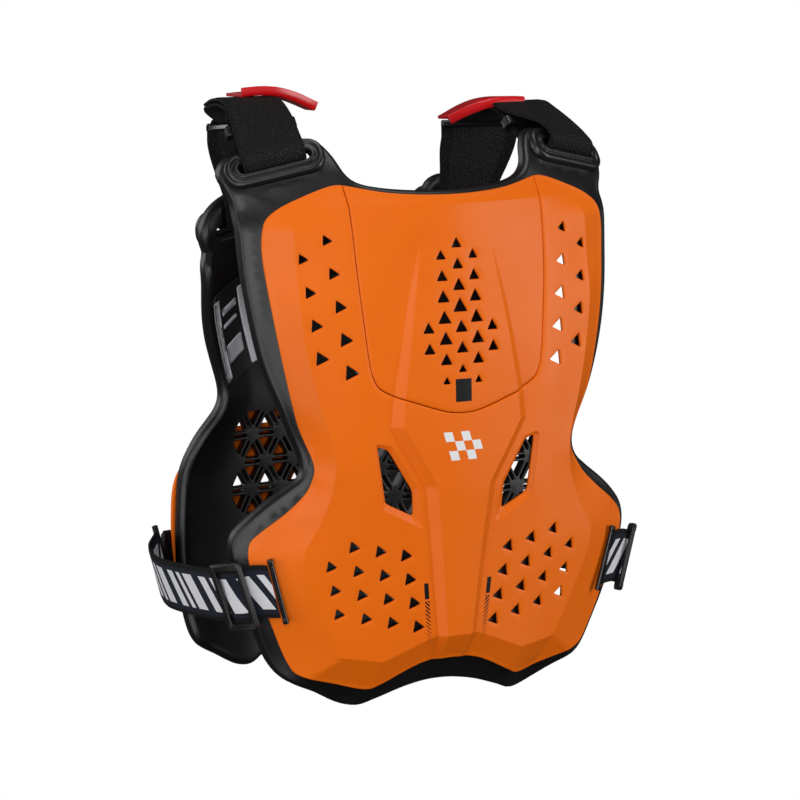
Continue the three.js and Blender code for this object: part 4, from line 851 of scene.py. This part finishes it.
def back_chosen(sign, lift):
    ring = lambda rise, out: (ring_point(BACK_RING, sign, 0, rise, out), ring_frame(BACK_RING, sign)[0])
    across = bar_across(sign)
    top = bar_place(sign, lift) + Vector((0, 0, -4.3))
    down = [(top + Vector((0, 0, -drop)), across) for drop in (-2, 2.5, 7)]
    round_slot = [(30, -17.5), (9, -18.3), (3.4, -17.9), (2.2, -14.5), (2.6, 0), (2.6, 5)]
    return down + [ring(rise, out) for rise, out in round_slot]


def build_back_strap(name, sign, lift):
    """The wide strap, which narrows on its way down to the slot."""
    taper = lambda s: 1 - (1 - BACK_STRAP_END / BACK_STRAP_WIDTH) * smooth_step(s, 0.1, 0.6)
    profile = webbing_profile(BACK_STRAP_WIDTH, WEBBING, 14)
    return lay(strap_path(back_chosen(sign, lift)), profile, name, taper)


# The waist straps: their bulge, drop and sag, then shares of out, behind and sag along their way
WAIST_BULGE, WAIST_DROP, WAIST_SAG = 185, 363, 14
WAIST_FRONT = [(0.87, 0.628, 0), (0.93, 0.769, 0.25), (0.962, 1.257, 0.55), (0.984, 1.7, 0.7)]
WAIST_BACK = [(1.0, 1.7, 0.9), (0.99, 1.25, 1.0), (0.945, 0.847, 0.8)]
FRONT_ROD_OUT = 146.5
BACK_ROD = (160, 94, -368.6)
BESIDE_ROD = 3.1
STRAP_LEAN = 0.27


def waist_chosen(sign):
    across = Vector((sign * STRAP_LEAN, 0, 1)).normalized()
    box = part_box("front_bar_left" if sign < 0 else "front_bar_right")
    rod = Vector((sign * FRONT_ROD_OUT, (box[0][1] + box[1][1]) / 2 / MM, -WAIST_DROP))
    end = Vector((sign * BACK_ROD[0], *BACK_ROD[1:]))
    place = lambda out, y, sag: Vector((sign * out * WAIST_BULGE, y, -WAIST_DROP - sag * WAIST_SAG))
    middle = [place(out, behind * SHELL_BOW - FRONT_REACH, sag) for out, behind, sag in WAIST_FRONT]
    middle += [place(out, BACK_REACH - behind * BACK_BOW, sag) for out, behind, sag in WAIST_BACK]
    beside = lambda a, b: a + Vector((b.x - a.x, b.y - a.y, 0)).normalized() * BESIDE_ROD
    points = [beside(rod, middle[0]), *middle, beside(end, middle[-1])]
    return [(p, across) for p in points]


# Hard small parts

def racetrack(length, height, radius, count=10):
    """A rounded rectangle as a counterclockwise loop."""
    x, y = length / 2 - radius, height / 2 - radius
    loop = []
    for cx, cy, start in ((x, y, 0), (-x, y, 90), (-x, -y, 180), (x, -y, 270)):
        for k in range(count + 1):
            angle = math.radians(start + 90 * k / count)
            loop.append((cx + radius * math.cos(angle), cy + radius * math.sin(angle)))
    return np.array(loop)


def frame_ring(name, inner, outer, section, place):
    """A closed frame: a section of (share from inner to outer loop, height) carried round both loops."""
    n, m = len(inner), len(section)
    verts, faces = [], []
    for i in range(n):
        for share, height in section:
            x, y = inner[i] + (outer[i] - inner[i]) * share
            verts.append(place(x, y, height))
    for i in range(n):
        for j in range(m):
            a, b = (i + 1) % n, (j + 1) % m
            faces.append((i * m + j, i * m + b, a * m + b, a * m + j))
    return make_mesh(name, verts, faces, sharp=35.0)


def in_axes(centre, across, up, out):
    return lambda x, y, height: centre + across * x + up * y + out * height


RING_SECTION = [(0.0, 0.4), (0.0, 5.6), (0.04, 6.3), (0.1, 6.7), (0.24, 6.7), (0.32, 6.2), (0.36, 5.0),
                (0.5, 4.7), (0.54, 5.4), (0.62, 5.8), (0.8, 5.7), (0.9, 5.0), (0.97, 3.4), (1.0, 0.4)]
ROD_SECTION = [(-27, 2.0), (-26.4, 2.5), (-23, 2.5), (-22.6, 2.1), (22.6, 2.1), (23, 2.5), (26.4, 2.5),
               (27, 2.0)]
LOOP_SECTION = [(0.0, -3.9), (0.0, 3.9), (0.25, 4.5), (0.75, 4.5), (1.0, 3.7), (1.0, -3.7), (0.75, -4.5),
                (0.25, -4.5)]
BACK_RING_SECTION = [(0.0, 0.4), (0.0, 4.6), (0.05, 5.2), (0.15, 5.4), (0.8, 5.4), (0.93, 4.8), (1.0, 3.4),
                     (1.0, 0.4)]


def build_ring(name, ring, sign, section):
    inner, outer = racetrack(SLOT_LENGTH, SLOT_HEIGHT, 4.49), racetrack(RING_LENGTH, RING_HEIGHT, 13.5)
    return frame_ring(name, inner, outer, section, lambda x, y, height: ring_point(ring, sign, x, y, height))


def bevelled(loop, place, low, high, radius, name, steps=3):
    """A solid plate with the loop's outline between two heights, with rounded rims."""
    loop = counterclockwise(loop)
    out = normals_of(loop)
    rings = []
    for k in range(steps + 1):
        angle = math.pi / 2 * k / steps
        rings.append((loop - out * radius * (1 - math.sin(angle)), low + radius * (1 - math.cos(angle))))
    for k in range(steps + 1):
        angle = math.pi / 2 * k / steps
        rings.append((loop - out * radius * (1 - math.cos(angle)), high - radius * (1 - math.sin(angle))))
    verts = [place(p[0], p[1], height) for ring, height in rings for p in ring]
    return make_mesh(name, verts, tube_faces(len(rings), len(loop)), sharp=35.0)


def merged(name, pieces):
    """Joins several meshes into one object."""
    built = bmesh.new()
    for piece in pieces:
        built.from_mesh(piece.data)
        bpy.data.objects.remove(piece)
    mesh = bpy.data.meshes.new(name)
    built.to_mesh(mesh)
    built.free()
    return placed(name, mesh)


def build_slider(name, node, stations):
    """A rectangular frame with fine ribs on its end bars, on the outer side of the waist strap."""
    low, high = (Vector(corner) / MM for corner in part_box(node))
    centre = (low + high) / 2
    nearest = int(np.argmin(np.linalg.norm(stations[:, :3] - np.array(centre), axis=1)))
    along = Vector(stations[nearest + 2, :3] - stations[nearest - 2, :3]).normalized()
    across = Vector(stations[nearest, 3:])
    up = (across - along * along.dot(across)).normalized()
    outer = along.cross(up)
    if outer.x * centre.x < 0:
        outer = -outer
    wide = up.cross(outer)
    section = [(0.0, 0.6), (0.0, 3.4), (0.2, 4.0), (0.8, 4.0), (1.0, 3.2), (1.0, 0.8), (0.8, 0.0), (0.2, 0.0)]
    base = centre - outer * 2
    place = in_axes(base, wide, up, outer)
    frame_piece = frame_ring(name, racetrack(21, 45, 1.5, 3), racetrack(32, 56, 4.0, 3), section, place)
    heights = [side * (23.2 + k * 1.6) for side in (-1, 1) for k in range(3)]
    ribs = [bevelled(racetrack(26, 0.9, 0.4, 2), in_axes(base + up * h, wide, up, outer), 3.6, 4.7, 0.3,
                     "rib", 1) for h in heights]
    return merged(name, [frame_piece, *ribs])


def build_bar(name, sign, lift):
    """The glossy bar that the straps fold over."""
    up, across = Vector((0, 0, 1)), bar_across(sign)
    axes = in_axes(bar_place(sign, lift), up.cross(across) * sign, up, across)
    return bevelled(racetrack(5, 7, 2.4, 5), axes, -BACK_STRAP_WIDTH / 2, BACK_STRAP_WIDTH / 2, 0.8, name)


def build_loop(name, middle, across, run):
    """The plastic loop that holds both layers of a shoulder strap."""
    inner, outer = racetrack(52.6, 5.6, 1.3, 3), racetrack(57.6, 10.6, 2.5, 3)
    return frame_ring(name, inner, outer, LOOP_SECTION, in_axes(middle, across, run.cross(across), run))


def build_rod(name, node, sign):
    """A round rod with a groove and a cap at each end."""
    low, high = (Vector(corner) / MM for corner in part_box(node))
    up = Vector((sign * STRAP_LEAN, 0, 1)).normalized()
    across = up.orthogonal().normalized()
    out = up.cross(across)
    centre = (low + high) / 2
    angles = np.linspace(0, 2 * math.pi, 24, endpoint=False)
    verts = [centre + up * h + (across * math.cos(a) + out * math.sin(a)) * r
             for h, r in ROD_SECTION for a in angles]
    return make_mesh(name, verts, tube_faces(len(ROD_SECTION), len(angles)), sharp=35.0)


# The red tabs: their outer end, length, level, and shares of length and of lift along them
TAB_OUT, TAB_LENGTH, TAB_LEVEL, TAB_RISE = 127, 67, 7.9, 7
TAB_ROWS = [(0.0, 0.0), (0.16, 0.1), (0.3, 0.1), (0.48, -0.1), (0.72, -0.75), (1.0, -1.9)]
TAB_SECTION = [
    (-15.5, -5.6), (-15.9, -3.0), (-15.5, 0.2), (-14.0, 1.8), (14.0, 1.3), (15.0, 0.6), (15.0, -0.9),
    (14.0, -1.25), (-12.6, -1.25), (-14.0, -2.4), (-14.3, -5.4), (-14.9, -5.7),
]


def build_tab(name, sign, lift):
    """A red tab with a lip in front, which lies over the strap and droops to a narrower tip."""
    across = Vector((0, 1, -0.06)).normalized()
    chosen = [((sign * (TAB_OUT - a * TAB_LENGTH), 20, lift + TAB_LEVEL + r * TAB_RISE), across)
              for a, r in TAB_ROWS]
    return lay(strap_path(chosen), TAB_SECTION, name, lambda s: 1 - 0.35 * smooth_step(s, 0.4, 1.0))


def back_inner(x, z):
    return softened(lambda u, v: foam_outer(back, BACK_RING, u, v))(x, z) - foam_thickness(back, x, z)


def build_patch(name, loop, thickness, step=4.0, radius=0.6, lift=0.0):
    """A thin piece that lies on the inner face of the back liner."""
    under = lambda x, z: back_inner(x, z) - GAP - lift
    over = lambda x, z: back_inner(x, z) - GAP - lift - thickness
    return slab(name, loop, [], [], step, over, under, radius, crease=30.0)


# Materials

class Look:
    """A material in the making: its nodes, its shader and short ways to add to them."""

    def __init__(self, name, color, roughness, **sockets):
        self.material = bpy.data.materials.new(name)
        self.material.use_nodes = True
        self.nodes, self.links = self.material.node_tree.nodes, self.material.node_tree.links
        self.shader = self.nodes["Principled BSDF"]
        self.set(self.shader, {"Base_Color": color, "Roughness": roughness, **sockets})

    def set(self, node, inputs):
        """Sets a node's inputs to numbers or colours, or links them to other nodes' outputs."""
        for key, value in inputs.items():
            socket = node.inputs[key.replace("_", " ")]
            if isinstance(value, bpy.types.NodeSocket):
                self.links.new(value, socket)
            else:
                socket.default_value = (*value, 1) if isinstance(value, tuple) else value

    def add(self, kind, **inputs):
        node = self.nodes.new("ShaderNode" + kind)
        self.set(node, inputs)
        return node

    def paint(self, color):
        self.set(self.shader, {"Base_Color": color})

    def noise(self, scale, detail=4.0, place=None):
        place = place or self.add("TexCoord").outputs["Object"]
        return self.add("TexNoise", Scale=scale, Detail=detail, Vector=place).outputs["Fac"]

    def ramp(self, source, low, high, start=0.35, end=0.65):
        node = self.add("ValToRGB", Fac=source)
        for stop, place, color in zip(node.color_ramp.elements, (start, end), (low, high)):
            stop.position = place
            stop.color = (*color, 1)
        return node.outputs["Color"]

    def bump(self, source, strength, distance):
        node = self.add("Bump", Strength=strength, Distance=distance, Height=source)
        self.set(self.shader, {"Normal": node.outputs["Normal"]})
        return node

    def calculate(self, operation, *values):
        node = self.add("Math")
        node.operation = operation
        for socket, value in zip(node.inputs, values):
            if isinstance(value, (int, float)):
                socket.default_value = value
            else:
                self.links.new(value, socket)
        return node.outputs["Value"]

    def near(self, value, middle, half):
        """1 where a value is within half of the middle, and otherwise 0."""
        gap = self.calculate("ABSOLUTE", self.calculate("SUBTRACT", value, middle))
        return self.calculate("LESS_THAN", gap, half)

    def both(self, first, second):
        return self.calculate("MULTIPLY", first, second)

    def either(self, first, second):
        return self.calculate("MAXIMUM", first, second)

    def wave(self, value, turns):
        return self.calculate("SINE", self.both(value, turns))

    def split(self, vector):
        return self.add("SeparateXYZ", Vector=vector).outputs

    def blend(self, share, low, high):
        node = self.add("Mix")
        node.data_type = "RGBA"
        self.links.new(share, node.inputs["Factor"])
        for socket, color in zip((node.inputs[6], node.inputs[7]), (low, high)):
            if isinstance(color, tuple):
                socket.default_value = (*color, 1)
            else:
                self.links.new(color, socket)
        return node.outputs[2]

    def strap_place(self):
        """The strap's own coordinates in millimetres, across and along."""
        node = self.add("UVMap")
        node.uv_map = "along"
        return node.outputs["UV"]


# Plain marks on the chest, in millimetres in the part's frame
FIELD_MIDDLE, FIELD_HALVES = -210.5, (7.0, 9.0)
CHECKER_MIDDLE, CHECKER_SQUARE, CHECKER_SLANT = -254.0, 7.5, 0.3
HATCH_OUT, HATCH_SLOPE, HATCH_HALF, HATCH_PITCH = 60.9, 0.09, 1.9, 3.3
HATCH_FOOT, HATCH_THINNING = 418.0, 0.05
DASH_MIDDLE, DASH_HALF = -370.0, 6.5
STRIPES_MIDDLE, STRIPES_HALF = -396.0, 18.0


def with_prints(look, color):
    """Adds a small dark field, a pale checker and dark hatching beside the ridge."""
    x, y, z = look.split(look.add("TexCoord").outputs["Object"])
    x, z = look.calculate("DIVIDE", x, MM), look.calculate("DIVIDE", z, MM)
    field = look.both(look.near(x, 0.0, FIELD_HALVES[0]), look.near(z, FIELD_MIDDLE, FIELD_HALVES[1]))

    low = look.calculate("SUBTRACT", z, CHECKER_MIDDLE)
    slant = look.calculate("ADD", x, look.both(low, CHECKER_SLANT))
    column = look.calculate("FLOOR", look.calculate("DIVIDE", slant, CHECKER_SQUARE))
    row = look.calculate("FLOOR", look.calculate("ADD", look.calculate("DIVIDE", low, CHECKER_SQUARE), 0.5))
    count = look.calculate("ADD", look.calculate("ADD", column, row), 10.0)
    odd = look.near(look.calculate("MODULO", count, 2.0), 1.0, 0.5)
    around = look.both(look.near(slant, 0.0, 2 * CHECKER_SQUARE), look.near(low, 0.0, 1.5 * CHECKER_SQUARE))

    out = look.calculate("ADD", HATCH_OUT, look.both(z, HATCH_SLOPE))
    beside = look.calculate("SUBTRACT", look.calculate("ABSOLUTE", x), out)
    place = look.calculate("ADD", look.calculate("SUBTRACT", 0.0, z), beside)
    thinning = look.both(look.calculate("ADD", z, HATCH_FOOT), HATCH_THINNING)
    stripe = look.calculate("LESS_THAN", look.calculate("MODULO", place, HATCH_PITCH), thinning)
    striped = look.both(stripe, look.near(z, STRIPES_MIDDLE, STRIPES_HALF))
    hatch = look.both(look.near(beside, 0.0, HATCH_HALF),
                      look.either(striped, look.near(z, DASH_MIDDLE, DASH_HALF)))

    in_front = look.calculate("LESS_THAN", y, 0.0)
    dark = look.both(look.either(field, hatch), in_front)
    pale_share = look.both(look.both(around, odd), in_front)
    return look.blend(pale_share, look.blend(dark, color, BLACK), (0.8, 0.8, 0.8))


def plastic(name, color, darker, roughness, prints=False, **sockets):
    """Satin plastic with cloudy colour, a fine grain and edges that catch a soft light."""
    look = Look(name, color, roughness, **sockets)
    tinted = look.ramp(look.noise(9.0), darker, color)
    look.paint(with_prints(look, tinted) if prints else tinted)
    varied = look.add("MapRange", Value=look.noise(60.0), To_Min=roughness - 0.05, To_Max=roughness + 0.07)
    look.set(look.shader, {"Roughness": varied.outputs["Result"]})
    edges = look.add("Bevel", Radius=EDGE_RADIUS)
    edges.samples = 6
    look.set(look.bump(look.noise(900.0, 2.0), 0.12, 0.0002), {"Normal": edges.outputs["Normal"]})
    return look.material


def pile_material():
    """Matte black hook-and-loop pile with a fuzzy relief and woven edges."""
    look = Look("pile", (0.004, 0.004, 0.0045), 0.75, Specular_IOR_Level=0.25)
    across, along, _ = look.split(look.strap_place())
    fuzz = look.noise(0.6, 8.0, look.strap_place())
    edge = look.calculate("GREATER_THAN", look.calculate("ABSOLUTE", across), 22.5)
    ribbed = look.both(look.wave(along, 5.0), look.both(edge, 0.3))
    look.paint(look.ramp(fuzz, (0.0006, 0.0006, 0.0006), (0.024, 0.024, 0.026), 0.5, 0.7))
    look.bump(look.calculate("ADD", fuzz, ribbed), 1.0, 0.0015)
    return look.material


# The printed bars in one repeat of the waist strap: their middles and half widths, in millimetres
ELASTIC_REPEAT = 52.0
ELASTIC_BARS = [(9.0, 7.0), (24.0, 3.0), (38.0, 5.0)]
PRINT_HALF = 14.5
ELASTIC_MIDDLE_HALF = 18.5


def elastic_material():
    """Dark ribbed elastic with black woven edges and pale slanted bars along its middle."""
    look = Look("elastic", (0.012, 0.014, 0.022), 0.85, Specular_IOR_Level=0.25)
    across, along, _ = look.split(look.strap_place())
    turn = 2 * math.pi
    weave = look.both(look.wave(along, turn / 1.4), look.wave(across, turn / 1.1))
    wide = look.calculate("ABSOLUTE", across)
    slant = look.calculate("ADD", along, look.both(across, -0.5))
    period = look.calculate("MODULO", look.calculate("ADD", slant, 2000.0), ELASTIC_REPEAT)
    bars = [look.near(period, middle, half) for middle, half in ELASTIC_BARS]
    printed = look.both(look.either(look.either(bars[0], bars[1]), bars[2]),
                        look.calculate("LESS_THAN", wide, PRINT_HALF))
    edge = look.calculate("GREATER_THAN", wide, ELASTIC_MIDDLE_HALF)
    cloth = look.blend(edge, (0.011, 0.013, 0.024), (0.004, 0.004, 0.005))
    look.paint(look.blend(printed, cloth, (0.72, 0.72, 0.75)))
    look.bump(weave, 0.5, 0.0004)
    return look.material


def sheet_material():
    """Black sheet with a fine grain."""
    look = Look("printed_sheet", (0.014, 0.014, 0.015), 0.55)
    grain = look.noise(500.0)
    look.paint(look.ramp(grain, (0.01, 0.01, 0.011), (0.02, 0.02, 0.022)))
    look.bump(grain, 0.3, 0.0004)
    return look.material


def foam_material():
    """Black moulded foam with a dull sheen."""
    look = Look("foam", (0.0025, 0.0025, 0.003), 0.42)
    look.paint(look.ramp(look.noise(14.0), (0.0015, 0.0015, 0.002), (0.003, 0.003, 0.0035)))
    look.bump(look.noise(700.0, 6.0), 0.25, 0.0004)
    return look.material


EDGE_RADIUS = 0.0012
ORANGE = (0.84, 0.155, 0.004)
ORANGE_DEEP = (0.80, 0.142, 0.003)
BLACK = (0.007, 0.007, 0.008)
BLACK_DEEP = (0.005, 0.005, 0.006)
RED = (0.66, 0.004, 0.008)
RED_DEEP = (0.56, 0.003, 0.006)
PALE = (0.85, 0.85, 0.9)
PALE_DEEP = (0.78, 0.78, 0.84)

orange = plastic("orange_plastic", ORANGE, ORANGE_DEEP, 0.42, prints=True, Specular_IOR_Level=0.2)
black = plastic("black_plastic", BLACK, BLACK_DEEP, 0.36)
gloss = plastic("gloss_plastic", BLACK, BLACK_DEEP, 0.16)
red = plastic("red_plastic", RED, RED_DEEP, 0.3)
foam = foam_material()
pile = pile_material()
elastic = elastic_material()
sheet = sheet_material()
pale = plastic("pale_print", PALE, PALE_DEEP, 0.5)


# The dressed pieces

def finish_piece(piece, material, slot, *nodes):
    piece.data.materials.append(material)
    if nodes:
        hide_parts(*nodes)
    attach(piece, "root")
    return piece


for built, node in ((build_front_shell(), "front_shell"), (build_centre_panel(), "centre_panel"),
                    (build_back_shell(), "back_shell")):
    finish_piece(built, orange, "orange_plastic", node)
for built, node in ((build_front_liner(), "front_liner"), (build_back_liner(), "back_liner")):
    finish_piece(built, foam, "black_foam", node)

for side, sign, lift in (("left", -1, STRAP_LIFT), ("right", 1, -STRAP_LIFT)):
    over, loop_frame = shoulder_chosen(sign, lift)
    shoulder = lay(strap_path(over), webbing_profile(SHOULDER_WIDTH, WEBBING), f"shoulder_webbing_{side}")
    finish_piece(shoulder, pile, "black_webbing", f"shoulder_strap_{side}")
    wide = build_back_strap(f"back_webbing_{side}", sign, lift)
    finish_piece(wide, pile, "black_webbing", f"back_strap_{side}")
    for where, ring, section in (("front", FRONT_RING, RING_SECTION), ("back", BACK_RING, BACK_RING_SECTION)):
        built = build_ring(f"{where}_slot_{side}", ring, sign, section)
        finish_piece(built, black, "black_plastic", f"{where}_ring_{side}")
    finish_piece(build_bar(f"gloss_bar_{side}", sign, lift), gloss, "black_plastic", f"fold_bar_{side}")
    loop = build_loop(f"webbing_loop_{side}", *loop_frame)
    finish_piece(loop, black, "black_plastic", f"strap_loop_{side}")
    finish_piece(build_tab(f"red_tab_{side}", sign, lift), red, "red_plastic", f"pull_tab_{side}")
    waist = strap_path(waist_chosen(sign))
    band = lay(waist, webbing_profile(ELASTIC_WIDTH, ELASTIC, 12, 0.1), f"waist_webbing_{side}")
    finish_piece(band, elastic, "navy_elastic", f"waist_strap_{side}")
    slider = build_slider(f"slide_frame_{side}", f"slider_{side}", waist)
    finish_piece(slider, black, "black_plastic", f"slider_{side}")
    rod = build_rod(f"chest_rod_{side}", f"front_bar_{side}", sign)
    finish_piece(rod, gloss, "black_plastic", f"front_bar_{side}")
    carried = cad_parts[f"back_bar_{side}"].data.materials
    carried.clear()
    carried.append(black)

flap = build_patch("printed_flap", polygon(FLAP_OUTLINE, 3.0, 5.0), 1.5)
finish_piece(flap, sheet, "printed_sheet", "back_tongue")
for name, loop in FLAP_PRINTS.items():
    finish_piece(build_patch(name, polygon(loop, 2.0, 0.6), 0.3, 2.5, 0.2, lift=1.5), pale, None)
disc = np.array([(DISC_PLACE[0] + DISC_RADIUS * math.cos(a), DISC_PLACE[1] + DISC_RADIUS * math.sin(a))
                 for a in np.linspace(0, 2 * math.pi, 40, endpoint=False)])
finish_piece(build_patch("release_disc", disc, 2.0, 2.5, 0.8), red, "red_plastic", "release_tab")

# Camera, light and backdrop

CAMERA_PLACE = (-1.3978, -2.7633, 0.2581)
CAMERA_TARGET = Vector((0, -0.020, -0.234))
CAMERA_LENS = 173.97

camera_data = bpy.data.cameras.new("camera")
camera_data.lens = CAMERA_LENS
camera = placed("camera", camera_data)
camera.location = CAMERA_PLACE
camera.rotation_euler = (CAMERA_TARGET - camera.location).to_track_quat("-Z", "Y").to_euler()
bpy.context.scene.camera = camera

LIGHT_TARGET = Vector((0, 0, -0.25))


def area_light(name, place, size, power):
    light = bpy.data.lights.new(name, "AREA")
    light.shape = "RECTANGLE"
    light.size, light.size_y = size
    light.energy = power
    lamp = placed(name, light)
    lamp.location = place
    lamp.rotation_euler = (LIGHT_TARGET - lamp.location).to_track_quat("-Z", "Y").to_euler()


LIGHTS = [
    ("key", (-1.4, -2.3, 0.35), (1.4, 1.6), 33),
    ("low_left", (-1.9, -1.3, -0.9), (1.0, 1.0), 12),
    ("left", (-2.3, -0.2, 0.1), (0.7, 1.8), 17),
    ("right", (1.9, -1.7, 0.1), (0.9, 1.8), 35),
    ("top", (0.1, -0.4, 1.9), (1.2, 0.8), 16),
    ("behind", (-1.2, 1.9, 0.5), (1.0, 1.4), 10),
]
for light_settings in LIGHTS:
    area_light(*light_settings)

world = bpy.data.worlds.new("studio")
world.use_nodes = True
sky = world.node_tree
sky.nodes["Background"].inputs["Color"].default_value = (1, 1, 1, 1)
rays = sky.nodes.new("ShaderNodeLightPath")
strength = sky.nodes.new("ShaderNodeMapRange")
strength.inputs["To Min"].default_value = 0.04
strength.inputs["To Max"].default_value = 1.0
sky.links.new(rays.outputs["Is Camera Ray"], strength.inputs["Value"])
sky.links.new(strength.outputs["Result"], sky.nodes["Background"].inputs["Strength"])
bpy.context.scene.world = world
bpy.context.scene.view_settings.view_transform = "Standard"
